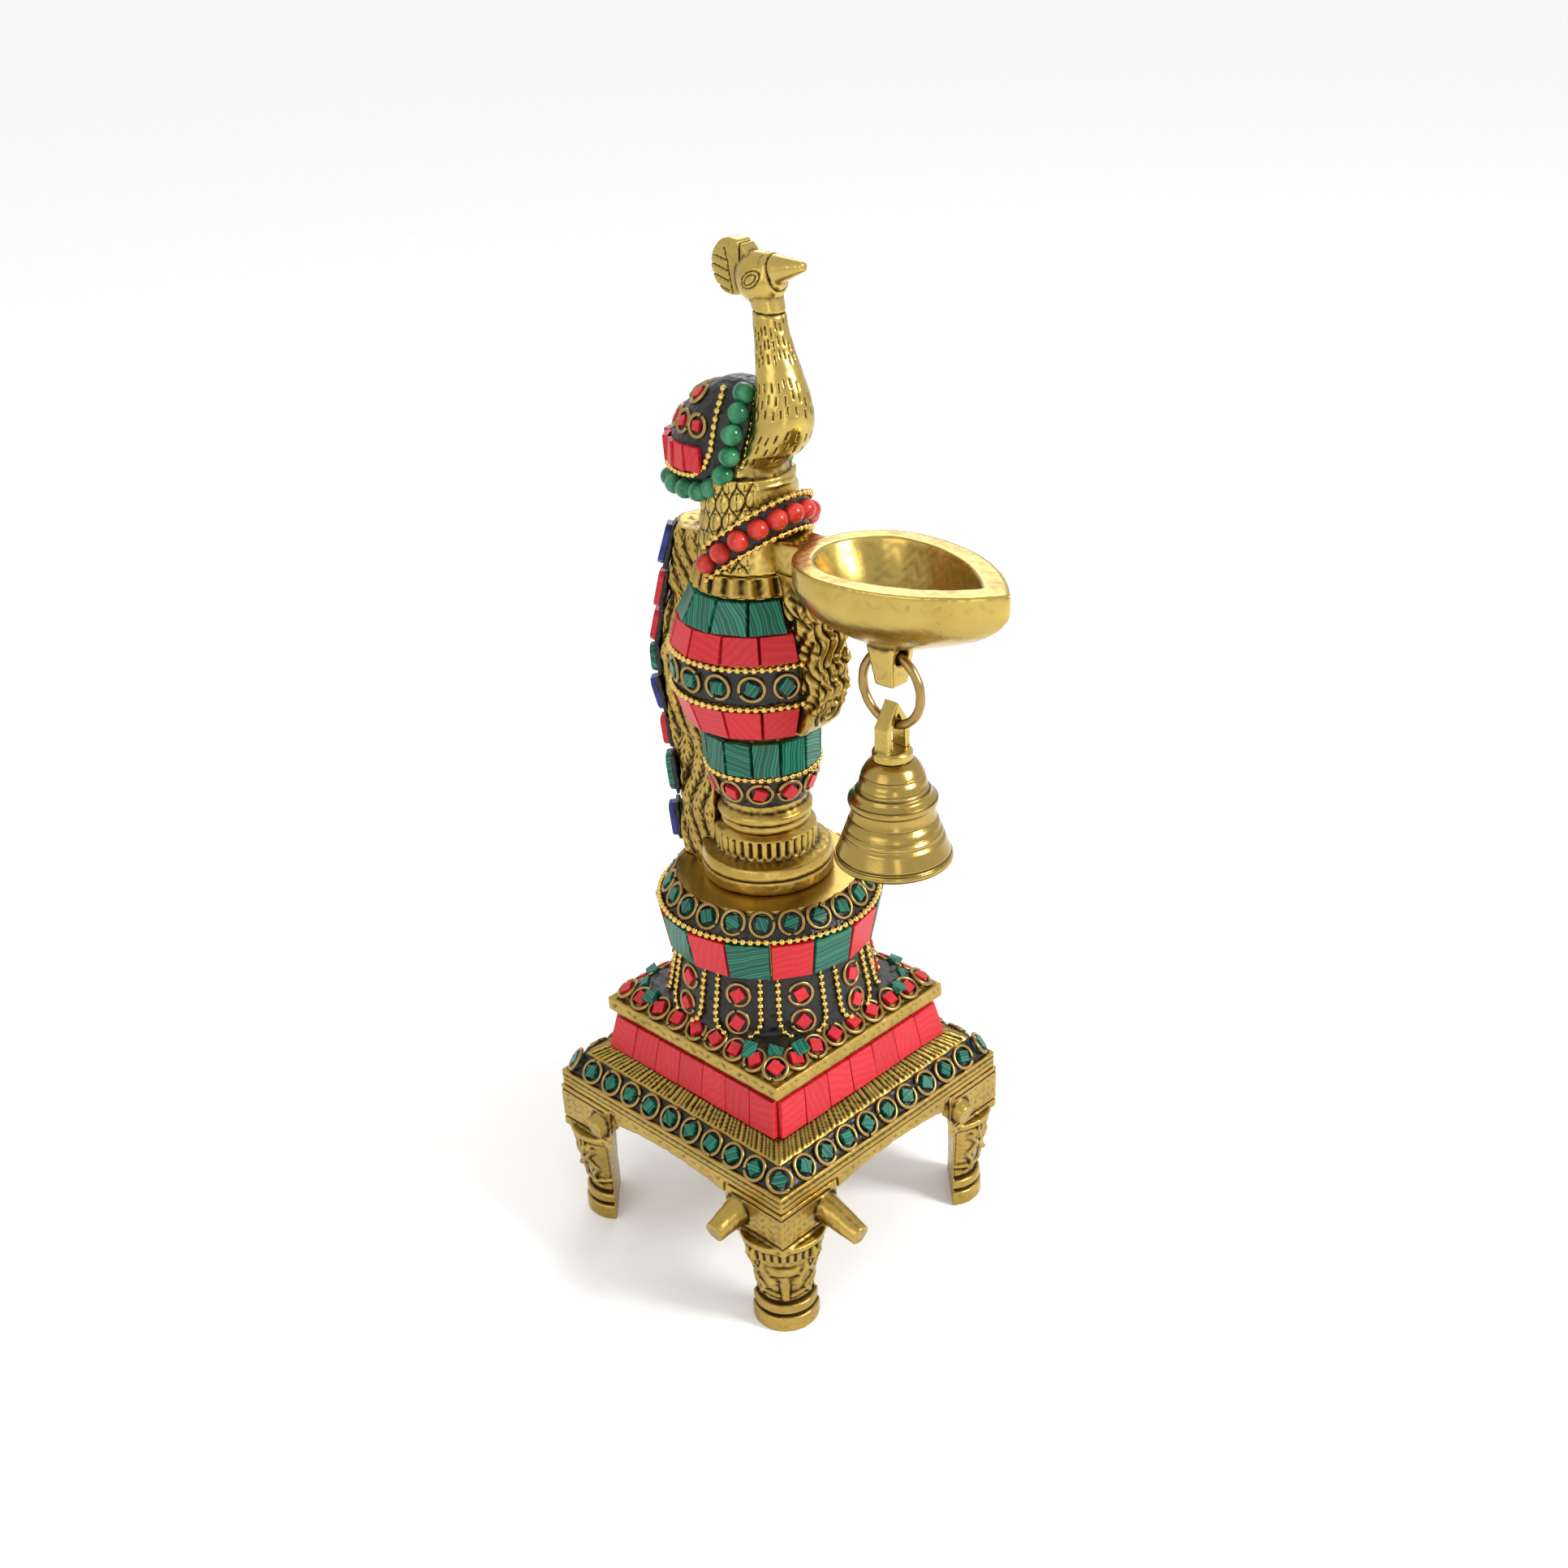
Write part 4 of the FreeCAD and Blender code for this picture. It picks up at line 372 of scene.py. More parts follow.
BRASSES = (
    # name, light tone, dark tone, roughness, grime
    ("cast_brass", (0.52, 0.36, 0.090), (0.31, 0.20, 0.042), 0.28, 0.9),
    ("bright_brass", (0.56, 0.41, 0.115), (0.38, 0.26, 0.058), 0.24, 0.5),
    ("turned_brass", (0.43, 0.30, 0.085), (0.29, 0.19, 0.045), 0.20, 0.4),
    ("wire_brass", (0.40, 0.27, 0.10), (0.25, 0.16, 0.05), 0.30, 0.6),
    ("bead_brass", (0.74, 0.52, 0.15), (0.56, 0.37, 0.09), 0.16, 0.3),
)
STONES = (
    # name, roughness, scale of the bands, strength of the veins, places and colours
    ("coral", 0.38, 0.0, 0.18,
     [(0.0, (0.43, 0.007, 0.012)), (0.55, (0.46, 0.009, 0.016)), (1.0, (0.48, 0.014, 0.022))]),
    ("malachite", 0.32, 0.055, 0.0,
     [(0.0, (0.001, 0.052, 0.030)), (0.10, (0.002, 0.090, 0.052)),
      (0.16, (0.020, 0.24, 0.145)), (0.21, (0.002, 0.082, 0.048)),
      (0.42, (0.001, 0.048, 0.028)), (0.50, (0.002, 0.096, 0.056)),
      (0.55, (0.014, 0.19, 0.115)), (0.60, (0.002, 0.078, 0.045)),
      (0.84, (0.001, 0.040, 0.023)), (0.93, (0.016, 0.20, 0.125)),
      (1.0, (0.002, 0.090, 0.052))]),
    ("lapis", 0.24, 0.055, 0.10,
     [(0.0, (0.007, 0.010, 0.090)), (0.55, (0.011, 0.017, 0.150)),
      (0.62, (0.030, 0.045, 0.26)), (0.68, (0.012, 0.018, 0.155)),
      (1.0, (0.016, 0.026, 0.19))]),
    ("green_cabochon", 0.12, 0.10, 0.0,
     [(0.0, (0.010, 0.10, 0.042)), (1.0, (0.030, 0.20, 0.085))]),
    ("coral_cabochon", 0.20, 0.10, 0.0,
     [(0.0, (0.34, 0.012, 0.008)), (1.0, (0.47, 0.030, 0.018))]),
)
MATERIALS = {look[0]: brass(*look) for look in BRASSES}
MATERIALS.update({look[0]: stone(*look) for look in STONES})
for make_look, look_name in ((resin, "black_resin"), (steel, "steel"), (floor_paper, "floor")):
    MATERIALS[look_name] = make_look(look_name)
for node, item in frame["nodes"].items():
    item.data.materials.clear()
    item.data.materials.append(MATERIALS[BASE_SLOTS[node]])


# -------- trim: tiles, chips, beads, rings

class Trim:
    """Collects many small solids into one mesh, with a tint and own coordinates for each."""

    def __init__(self):
        self.points = []
        self.faces = []
        self.tints = []
        self.local = []
        self.count = 0

    def add(self, points, faces, tint=0.0, local=None):
        points = np.asarray(points, float)
        self.points.append(points)
        self.faces += [[index + self.count for index in face] for face in faces]
        self.tints.append(np.full(len(points), tint))
        self.local.append(points / MM if local is None else local)
        self.count += len(points)

    def finish(self, name, slot, body, replaced, smooth=True):
        mesh = bpy.data.meshes.new(name)
        mesh.from_pydata(np.concatenate(self.points).tolist(), [], self.faces)
        write_points(mesh, "tint", np.concatenate(self.tints))
        write_points(mesh, "local", np.concatenate(self.local))
        mesh.update()
        return add_piece(name, mesh, slot, body, replaced, smooth)

    def replace_node(self, node, ending, smooth=True):
        """Finish as the piece that stands for a CAD node."""
        self.finish(node + ending, BASE_SLOTS[node], BODY_OF[node], (node,), smooth)


def bmesh_arrays(made):
    """Return a bmesh's points and faces, and free it."""
    made.verts.index_update()
    points = np.array([list(vert.co) for vert in made.verts])
    faces = [[vert.index for vert in face.verts] for face in made.faces]
    made.free()
    return points, faces


def cut_block(corners, bevel):
    """Return a stone's rounded block as arrays, from its corner points."""
    flat = math.radians(9)
    made = bmesh.new()
    for corner in corners:
        made.verts.new(corner)
    bmesh.ops.convex_hull(made, input=made.verts)
    bmesh.ops.dissolve_limit(made, angle_limit=flat, verts=made.verts, edges=made.edges)
    bmesh.ops.bevel(made, geom=list(made.edges), offset=bevel, segments=2, profile=0.6,
                    affect="EDGES", clamp_overlap=True)
    bmesh.ops.triangulate(made, faces=[face for face in made.faces if len(face.verts) > 4])
    return bmesh_arrays(made)


def set_stones(node, seed, bevel=0.16, jitter=0.07, spin=0.0, rise=0.0, lean=0.0, cut=0.0,
               away=from_axis, grow=1.0):
    """Rebuild each stone of a node as a hand-cut piece: uneven corners, worn edges, own tint.

    Lengths are in millimetres and spin in degrees; lean is a slope, and cut says how much of
    each corner is missing.
    """
    chance = random.Random(seed)
    trim = Trim()
    for points in islands(node):
        middle, long_axis, mid_axis, thin = own_axes(points, away)
        axes = np.array([long_axis, mid_axis, thin])
        local = (points - middle) @ axes.T
        turn = spun(math.radians(chance.uniform(-spin, spin)))
        slope = chance.uniform(-lean, lean)
        corners = cut_corners(local, cut) if cut else local.copy()
        for corner in corners:
            corner[:2] *= grow * (1 + chance.uniform(-0.02, 0.02))
            corner += shaken(chance, jitter) * MM
            corner[2] += slope * corner[0]
        placed = (corners @ turn) @ axes + middle + thin * rise * MM
        block, faces = cut_block(placed, bevel * MM)
        drift = shaken(chance, 40)
        own = ((block - middle) @ axes.T) / MM
        own = own @ spun(chance.uniform(0, math.pi)) + drift
        trim.add(block, faces, chance.random() * 0.8, own)
    trim.replace_node(node, "_cut", smooth=False)


def cut_corners(local, share):
    """Turn a slab's rectangle into an octagon by cutting its corners."""
    half = np.abs(local).max(0)
    corner = share * half[1]
    taper_x, taper_y = 0.96, 0.94
    outline = [(half[0] - corner, half[1]), (half[0], half[1] - corner)]
    outline += [(x, -y) for x, y in reversed(outline)]
    outline += [(-x, -y) for x, y in outline]
    made = []
    for x, y in outline:
        made.append([x, y, -half[2]])
        made.append([x * taper_x, y * taper_y, half[2]])
    return np.array(made)


def wire_ring(trim, middle, first, second, thin, radius, chance):
    """Add one ring of wire, bent round by hand, with a small gap between its ends."""
    gap = 16.0
    wire = WIRE_RADIUS * MM
    turns = 30
    around = 8
    start = chance.uniform(0, 2 * math.pi)
    reach = 2 * math.pi - math.radians(chance.uniform(0.4, 1.0) * gap)
    wobble = chance.uniform(0, 6)
    points = []
    for index in range(turns + 1):
        angle = start + reach * index / turns
        radial = first * math.cos(angle) + second * math.sin(angle)
        bend = radius * (1 + 0.018 * math.sin(2 * angle + wobble))
        centre = middle + radial * bend + thin * (0.10 * MM * math.sin(angle + wobble))
        for part in range(around):
            turn = 2 * math.pi * part / around
            points.append(centre + (radial * math.cos(turn) + thin * math.sin(turn)) * wire)
    faces = grid_faces(turns, turns + 1, around)
    faces.append(list(range(around)))
    faces.append([turns * around + part for part in reversed(range(around))])
    trim.add(points, faces)


def wire_rings(node, inside, seed, away=from_axis, radius=RING_RADIUS):
    """Wind one wire ring round each solid of the node that lies inside the rings."""
    chance = random.Random(seed)
    trim = Trim()
    for points in islands(inside):
        wire_ring(trim, *own_axes(points, away), radius * MM, chance)
    trim.replace_node(node, "_wound")


def ball_arrays(detail):
    """Return a ball of radius one as arrays."""
    made = bmesh.new()
    bmesh.ops.create_icosphere(made, subdivisions=detail, radius=1.0)
    return bmesh_arrays(made)


BEAD = ball_arrays(2)
DOME = ball_arrays(4)


def add_link(trim, start, end, radius):
    """Add the short six-sided wire between two beads of a ball chain."""
    along = unit(end - start)
    side = unit(np.cross(along, [0.3, 0.5, 0.8]))
    other = np.cross(along, side)
    ring = [side * math.cos(a) + other * math.sin(a) for a in np.arange(6) * math.pi / 3]
    points = [start + part * radius for part in ring] + [end + part * radius for part in ring]
    trim.add(points, [[i, (i + 1) % 6, 6 + (i + 1) % 6, 6 + i] for i in range(6)])


def string_beads(trim, places, chance):
    """Add a ball chain along a list of places; a long step between places starts a new run."""
    longest = BEAD_RADIUS * 3.4
    last = None
    for place in places:
        spot = place + shaken(chance, 0.05) * MM
        trim.add(BEAD[0] * BEAD_RADIUS * chance.uniform(0.93, 1.0) + spot, BEAD[1])
        if last is not None and np.linalg.norm(spot - last) < longest:
            add_link(trim, last, spot, BEAD_RADIUS * 0.32)
        last = spot


def hoop_chain(node, pitch, seed):
    """Rebuild smooth hoops as ball chains, with beads only where the hoop has metal.

    pitch is the step from bead to bead in millimetres.
    """
    chance = random.Random(seed)
    trim = Trim()
    solids = np.concatenate(islands(node))
    for height in hoop_heights(solids):
        near = solids[np.abs(solids[:, 2] - height) < 1.2 * MM]
        reach = np.linalg.norm(near[:, :2], axis=1).max() - BEAD_RADIUS
        count = int(2 * math.pi * reach / (pitch * MM))
        places = []
        for index in range(count):
            angle = 2 * math.pi * index / count
            spot = np.array([reach * math.cos(angle), reach * math.sin(angle), height])
            if np.linalg.norm(near - spot, axis=1).min() < BEAD_RADIUS * 1.25:
                places.append(spot)
        string_beads(trim, places, chance)
    trim.replace_node(node, "_strung")


def hoop_heights(points):
    """Return the middle height of each hoop in a set of points."""
    single = 2.5 * MM
    low, high = points[:, 2].min(), points[:, 2].max()
    if high - low < single:
        return [(low + high) / 2]
    return [low + BEAD_RADIUS, high - BEAD_RADIUS]


def bead_balls(node, seed):
    """Rebuild separate CAD beads as a strung ball chain."""
    trim = Trim()
    places = [(points.min(0) + points.max(0)) / 2 for points in islands(node)]
    string_beads(trim, places, random.Random(seed))
    trim.replace_node(node, "_strung")


def petal_chains(node, pitch, seed):
    """String a ball chain down each rod, its foot curling in round the end of its petal."""
    curl_start = 0.70
    chance = random.Random(seed)
    trim = Trim()
    rods = []
    for points in islands(node):
        middle = points.mean(0)
        along = np.linalg.svd(points - middle, full_matrices=False)[2][0]
        along = along if along[2] < 0 else -along
        shares = (points - middle) @ along
        rods.append((math.atan2(middle[1], middle[0]), middle + along * shares.min(),
                     middle + along * shares.max()))
    rods.sort(key=lambda rod: rod[0])
    for index, (angle, top, foot) in enumerate(rods):
        ahead = (rods[(index + 1) % len(rods)][0] - angle) % (2 * math.pi)
        behind = (angle - rods[index - 1][0]) % (2 * math.pi)
        lean = 0.27 * (ahead if ahead > behind else -behind)
        places = []
        run = pitch * MM
        last = None
        for share in np.linspace(0.02, 1.0, 160):
            curl = max(share - curl_start, 0) / 0.30
            turn = lean * (1 - math.sqrt(max(1 - curl ** 2, 0)))
            straight = top + (foot - top) * share
            spot = np.array([straight[0] * math.cos(turn) - straight[1] * math.sin(turn),
                             straight[0] * math.sin(turn) + straight[1] * math.cos(turn),
                             straight[2]])
            run += 0 if last is None else np.linalg.norm(spot - last)
            last = spot
            if run >= pitch * MM:
                places.append(spot)
                run -= pitch * MM
        string_beads(trim, places, chance)
    trim.replace_node(node, "_strung")


def cabochons(node, seed):
    """Rebuild cabochons as domed stones, each a little uneven; two that touch stay two stones."""
    flat = 0.94
    chance = random.Random(seed)
    trim = Trim()
    stones = [(points.min(0), points.max(0)) for points in islands(node)]
    usual = np.median([(high - low).max() / 2 for low, high in stones])
    for low, high in stones:
        half = (high - low) / 2
        middle = (low + high) / 2
        spread = np.where(half > usual * 1.2, half - usual, 0)
        pair = spread.max() > 0
        for side in (-1, 1) if pair else (0,):
            size = min(half.max(), np.linalg.norm(spread)) if pair else half.max()
            ball = DOME[0].copy()
            ball[:, 2] *= flat * chance.uniform(0.97, 1.03)
            ball[:, 0] *= chance.uniform(0.96, 1.0)
            ball = ball * size * (1 + 0.012 * np.sin(ball[:, :1] * 5 + chance.uniform(0, 6)))
            drift = shaken(chance, 30)
            trim.add(ball + middle + side * spread, DOME[1], chance.random() * 0.7,
                     ball / MM + drift)
    trim.replace_node(node, "_domed")


# -------- castings

def cast(name, nodes, voxel, slot, relief=None, extras=(), rounds=2, shade=None, wear=0.034):
    """Rebuild CAD nodes as one soft-edged casting, then chase its relief into the surface.

    relief takes points in millimetres and normals, and returns how far the surface rises there;
    shade returns how dark it is. wear is the depth, in millimetres, that patina fills fully.
    """
    merged = bmesh.new()
    for node in nodes:
        merged.from_mesh(frame["nodes"][node].data)
    bmesh.ops.remove_doubles(merged, verts=merged.verts, dist=WELD)
    for extra in extras:
        extra(merged)
    rough = bpy.data.meshes.new(name + "_rough")
    merged.to_mesh(rough)
    merged.free()
    holder = bpy.data.objects.new(name + "_rough", rough)
    bpy.context.scene.collection.objects.link(holder)
    remesh = holder.modifiers.new("remesh", "REMESH")
    remesh.mode = "VOXEL"
    remesh.voxel_size = voxel * MM
    soften = holder.modifiers.new("soften", "SMOOTH")
    soften.factor = 0.5
    soften.iterations = rounds * 3
    graph = bpy.context.evaluated_depsgraph_get()
    mesh = bpy.data.meshes.new_from_object(holder.evaluated_get(graph))
    mesh.name = name
    bpy.data.objects.remove(holder)
    bpy.data.meshes.remove(rough)

    points = read_rows(mesh.vertices, "co")
    normals = read_rows(mesh.vertex_normals, "vector")
    if relief is not None:
        height = relief(points / MM, normals)
        points = np.clip(points + normals * height[:, None] * MM, *cad_box)
        mesh.vertices.foreach_set("co", points.ravel())
        mesh.update()
        normals = read_rows(mesh.vertex_normals, "vector")
    hollow = hollows(mesh, points, normals, wear)
    # the shade function adds more darkening; on the vase it is painted shade behind the tile rows
    if shade is not None:
        hollow = np.maximum(hollow, shade(points / MM, normals))
    write_points(mesh, "cavity", np.clip(hollow, 0, 1))
    write_points(mesh, "local", points / MM)
    add_piece(name, mesh, slot, BODY_OF[nodes[0]], nodes)


def read_rows(collection, key):
    """Read a mesh's points or normals as rows of three numbers."""
    values = np.empty(len(collection) * 3)
    collection.foreach_get(key, values)
    return values.reshape(-1, 3)


def hollows(mesh, points, normals, wear):
    """Say how hollow the surface is at each point, from 0 to 1: patina gathers there."""
    edges = np.empty(len(mesh.edges) * 2, int)
    mesh.edges.foreach_get("vertices", edges)
    first, second = edges.reshape(-1, 2).T
    degree = np.bincount(edges, minlength=len(points)).astype(float)
    degree = np.maximum(degree, 1)[:, None]

    def spread(values):
        total = np.zeros_like(values)
        np.add.at(total, first, values[second])
        np.add.at(total, second, values[first])
        return total / degree

    smooth = points.copy()
    for _ in range(4):
        smooth = (smooth + spread(smooth)) / 2
    depth = ((smooth - points) * normals).sum(1)[:, None]
    depth = (depth + spread(depth)) / 2
    return np.clip(depth[:, 0] / (wear * MM), 0, 1) ** 0.8


def add_ball(x, y, z, radius):
    """Return a function that adds a ball to a casting before it is rebuilt."""
    def build(merged):
        made = bmesh.ops.create_icosphere(merged, subdivisions=3, radius=radius * MM)
        place = Matrix.Translation((x * MM, y * MM, z * MM))
        bmesh.ops.transform(merged, matrix=place, verts=made["verts"])
    return build


def stool_relief(points, normals):
    """Chiselled flutes on the upper slope, a groove round the lip, and hand-worked unevenness."""
    x, y, z = points.T
    reach = np.maximum(np.abs(x), np.abs(y))
    along = np.where(np.abs(x) > np.abs(y), y, x)
    inner = box_mm("plinth_block")[1][0]
    low, high = box_mm("stool_plate")
    lip = high[0]
    slope = band(reach, inner - 0.2, lip - 6.0, 0.8) * step(z, high[2] - 4.4, 0.8)
    slant = along / np.maximum(reach, 1) * (lip - 5)
    flute = np.cos(slant * 2 * math.pi / 1.75 + 1.1 * np.sin(slant * 0.9))
    height = slope * flute * 0.30
    side = step(np.maximum(np.abs(normals[:, 0]), np.abs(normals[:, 1])), 0.8, 0.2)
    for level, depth, width in ((7.4, 0.42, 0.42), (5.7, 0.22, 0.3)):
        cut = groove(z - (low[2] + level), width) * step(reach, lip - 1, 0.6)
        height -= side * depth * cut
    return height + 0.09 * ripple(points, 2.6) + 0.05 * ripple(points, 0.9, 2.0)


def leg_relief(turn):
    """A mask under a ribbed brow, leaf scrolls at its sides and two rings at the foot."""
    angle = math.radians(turn)
    flat = 49.9  # from the lamp's axis to the leg's middle line
    leg_radius = 9.4
    block_foot = 29.0
    top_ring, foot_ring = 9.0, 5.2

    def relief(points, normals):
        x, y, z = points.T
        out = x * math.cos(angle) + y * math.sin(angle) - flat
        side = -x * math.sin(angle) + y * math.cos(angle)
        round_part = 1 - step(z, block_foot, 1.0)
        turned = np.arctan2(side, np.maximum(out, 0.01)) * leg_radius
        across = np.abs(turned)
        face = round_part * step(z, top_ring, 1.0)
        height = -0.50 * face
        height += face * 1.45 * np.exp(-(turned / 1.4) ** 4 - ((z - 13.2) / 3.6) ** 4)
        height += face * 1.10 * np.exp(-(turned / 3.9) ** 4 - ((z - 21.6) / 1.5) ** 4)
        nose = np.exp(-(turned / 1.0) ** 2) * np.exp(-((z - 18.2) / 1.5) ** 2)
        height += face * 0.9 * nose
        cheek = np.exp(-((across - 3.6) / 1.1) ** 2 - ((z - 18.0) / 1.4) ** 2)
        height += face * 0.8 * cheek
        scroll = across - 5.4 - (z - 21) * 0.55
        height += face * 1.15 * groove(scroll, 1.2) * band(z, 16.5, 28.0, 2.0)
        tendril = across - 8.6 - 1.2 * np.sin(z * 0.8)
        height += face * 0.85 * groove(tendril, 0.9) * band(z, 10.0, 27.0, 2.0)
        eyes = np.hypot((across - 6.9) / 1.1, (z - 23.6) / 1.9)
        height -= face * 0.8 * groove(eyes - 0.4, 0.5)
        jaw = z - 11.2 - 0.16 * across
        height += face * 0.7 * groove(jaw, 0.7) * step(across, 1.8, 0.8)
        ribs = np.cos(turned * 2 * math.pi / 1.9)
        height += round_part * band(z, 25.4, 28.6, 0.8) * (0.35 * ribs) * step(9, across, 1)
        height = height - 0.55 * groove(z - foot_ring, 0.45) - 0.4 * groove(z - top_ring, 0.45)
        edge = step(z, block_foot, 0.5) * step(np.abs(normals[:, 2]), 0.5, -0.4)
        height -= edge * 0.50 * groove(z - 32.0, 0.34)
        height -= edge * 0.30 * groove(z - 41.6, 0.3)
        height = height * step(out, 0.3, 0.8)
        return height + 0.07 * ripple(points, 2.2, turn) + 0.05 * ripple(points, 0.8, 1.0)
    return relief


def plate_relief(points, normals):
    """Unevenness from casting and filing."""
    return 0.10 * ripple(points, 2.4, 4.0) + 0.05 * ripple(points, 0.8, 1.5)


def foot_relief(points, normals):
    """Short upright flutes round the waist and a groove under the disc's edge."""
    x, y, z = points.T
    low, high = box_mm("column_foot")
    reach = np.hypot(x, y)
    angle = np.arctan2(y, x)
    waist = band(z, high[2] - 6.0, high[2] - 1.6, 0.5) * step(reach, 12.4, 0.6)
    flutes = np.clip(np.cos(angle * 34), -0.2, 1)
    height = -0.75 * waist * flutes
    disc = step(reach, high[0] - 1.2, 0.4)
    height -= 0.30 * disc * groove(z - (low[2] + 4.2), 0.35)
    return height + 0.13 * ripple(points, 3.2, 1.0) + 0.05 * ripple(points, 0.9, 3.0)


def vase_relief(points, normals):
    """Scalloped ribs round the vase's top, and a soft cast skin elsewhere."""
    x, y, z = points.T
    top = box_mm("vase_body")[1][2]
    angle = np.arctan2(y, x)
    reach = np.hypot(x, y)
    outside = step(reach, 9.5, 0.6)
    ribs = np.cos(angle * 22 + 0.6 * np.sin(angle * 3))
    height = outside * band(z, top - 5.2, top - 0.2, 0.9) * 0.55 * ribs
    height -= outside * 0.35 * groove(z - (top - 5.3), 0.4)
    return height + 0.10 * ripple(points, 2.8, 6.0) + 0.04 * ripple(points, 0.9, 2.0)


def vase_painted_shade(points, normals):
    """Painted shade behind the tile rows: the brass is darkened in the bands that the tiles cover.
    """
    z = points[:, 2]
    dark = np.zeros(len(z))
    for rows in ("neck_malachite_tiles", "belly_coral_tiles", "shoulder_coral_tiles",
                 "shoulder_malachite_tiles"):
        low, high = box_mm(rows)
        dark = np.maximum(dark, band(z, low[2] - 0.2, high[2] + 0.2, 0.4))
    return dark


def neck_middle(z):
    """The x of the peacock's neck at a height, and the neck's radius."""
    heights = (224, 232, 240, 248, 256, 262, 268, 272)
    middles = (1.5, 7.4, 12.3, 12.5, 10.9, 9.8, 9.0, 8.0)
    radii = (10.6, 8.2, 7.8, 6.4, 4.9, 4.2, 4.0, 4.2)
    return np.interp(z, heights, middles), np.interp(z, heights, radii)


def peacock_relief(points, normals):
    """Dashes down the neck, an almond eye, a ridged crest and carved feathers at the hips."""
    x, y, z = points.T
    middle, radius = neck_middle(z)
    angle = np.arctan2(y, x - middle)
    on_neck = band(z, 229.0, 265.5, 1.5) * step(x, 0.5 + (240 - z) * 0.25, 1.5)
    wavy = z + 0.7 * np.sin(angle * 3.0) + 0.4 * np.sin(angle * 7.0 + 1.0)
    pitch = 3.1
    row = np.floor(wavy / pitch)
    columns = 22
    shifted = angle * columns / (2 * math.pi) + 0.5 * (row % 2) + 0.16 * np.sin(row * 2.3)
    which = np.round(shifted)
    across = (shifted - which + 0.16 * np.sin(which * 5.1 + row * 3.7)) * 2 * math.pi
    across = across * radius / columns
    along = wavy - (row + 0.5) * pitch - 0.35 * np.sin(which * 8.3 + row * 2.9)
    skip = np.sin(which * 12.7 + row * 7.9) > -0.62
    dash = groove(across, 0.20) * band(along, -1.0, 1.0, 0.5) * skip
    height = -0.34 * on_neck * dash
    joint_z = 265.9
    height -= 0.42 * groove(z - joint_z + 0.10 * (x - 9), 0.34) * step(x, 4.0, 1.0)

    head_x, head_z = 8.3, 273.6
    lean = 0.55
    across_eye = (x - head_x) * math.cos(lean) + (z - head_z) * math.sin(lean)
    up_eye = -(x - head_x) * math.sin(lean) + (z - head_z) * math.cos(lean)
    on_head = step(np.abs(y), 1.6, 0.8) * step(z, 267.5, 1.0) * step(x, 2.2, 0.6)
    for wide, tall in ((2.9, 1.75), (1.9, 0.95)):
        almond = np.hypot(across_eye / wide, up_eye / tall) - 1
        height -= 0.32 * on_head * groove(almond * tall, 0.17)
    beak = x - 12.4 - 0.25 * (276 - z)
    height -= 0.45 * groove(beak, 0.28) * step(z, 270.5, 0.8) * step(280.5, z, 1.0)

    fan = (1 - step(x, -1.4, 0.8)) * step(z, 266.0, 1.0) * (1 - step(z, 277.4, 0.8))
    slant = z + 0.25 * x
    height -= 0.50 * fan * groove(np.sin(slant * math.pi / 2.3), 0.26)
    height -= 0.30 * groove(x + 1.5 + 0.2 * (z - 275), 0.26) * band(z, 268.0, 279.5, 1.0)
    height -= 0.45 * groove(x - 2.5, 0.30) * step(z, 270.0, 1.0)

    hips = band(z, 203.0, 226.0, 1.5) * (1 - step(x, 9.0, 2.0))
    wide, tall = 4.2, 4.6
    turn = np.arctan2(y, x) * 12.0
    line = (z + 0.18 * np.abs(turn)) / tall
    shift = 0.5 * (np.floor(line) % 2)
    cell = turn / wide + shift
    scale_x = (cell - np.round(cell)) * wide
    scale_z = (line - np.floor(line)) * tall
    feather = np.hypot(scale_x / 2.1, (scale_z - 2.3) / 2.5)
    height += hips * (0.55 * np.clip(1 - feather, 0, 1) - 0.30 * groove(feather - 1, 0.16))
    height -= hips * 0.22 * groove(scale_x, 0.22)
    return height + 0.07 * ripple(points, 2.6, 5.0) + 0.035 * ripple(points, 0.9, 2.5)


def tail_relief(points, normals):
    """Long leaves that wave down the plume's sides, with veins and worn lumps between them."""
    x, _, z = points.T
    leaf = 4.6
    side = step(np.abs(normals[:, 1]), 0.5, 0.3)
    flow = x + 3.2 * np.sin(z * 0.155 + 0.6) + 1.3 * ripple(points, 9.0, 1.0)
    cell = flow / leaf
    edge = np.abs(cell - np.round(cell)) * leaf
    height = side * (0.38 * np.cos(cell * 2 * math.pi) - 0.22 * groove(edge, 0.36))
    vein = np.cos((z + 2.2 * edge) * 2 * math.pi / 2.7)
    veined = step(ripple(points, 9.0, 3.0), -0.1, 0.5)
    height -= 0.16 * side * veined * np.clip(vein, 0, 1)
    lumps = 0.50 * ripple(points, 4.4, 2.0) + 0.20 * ripple(points, 2.0, 8.0)
    pit = np.exp(-((z - 139.0) / 4.0) ** 2) + np.exp(-((z - 166.0) / 4.5) ** 2)
    pit = pit + np.exp(-((z - 190.0) / 4.0) ** 2)
    return height + lumps - side * 0.8 * pit + 0.06 * ripple(points, 0.9, 4.0)


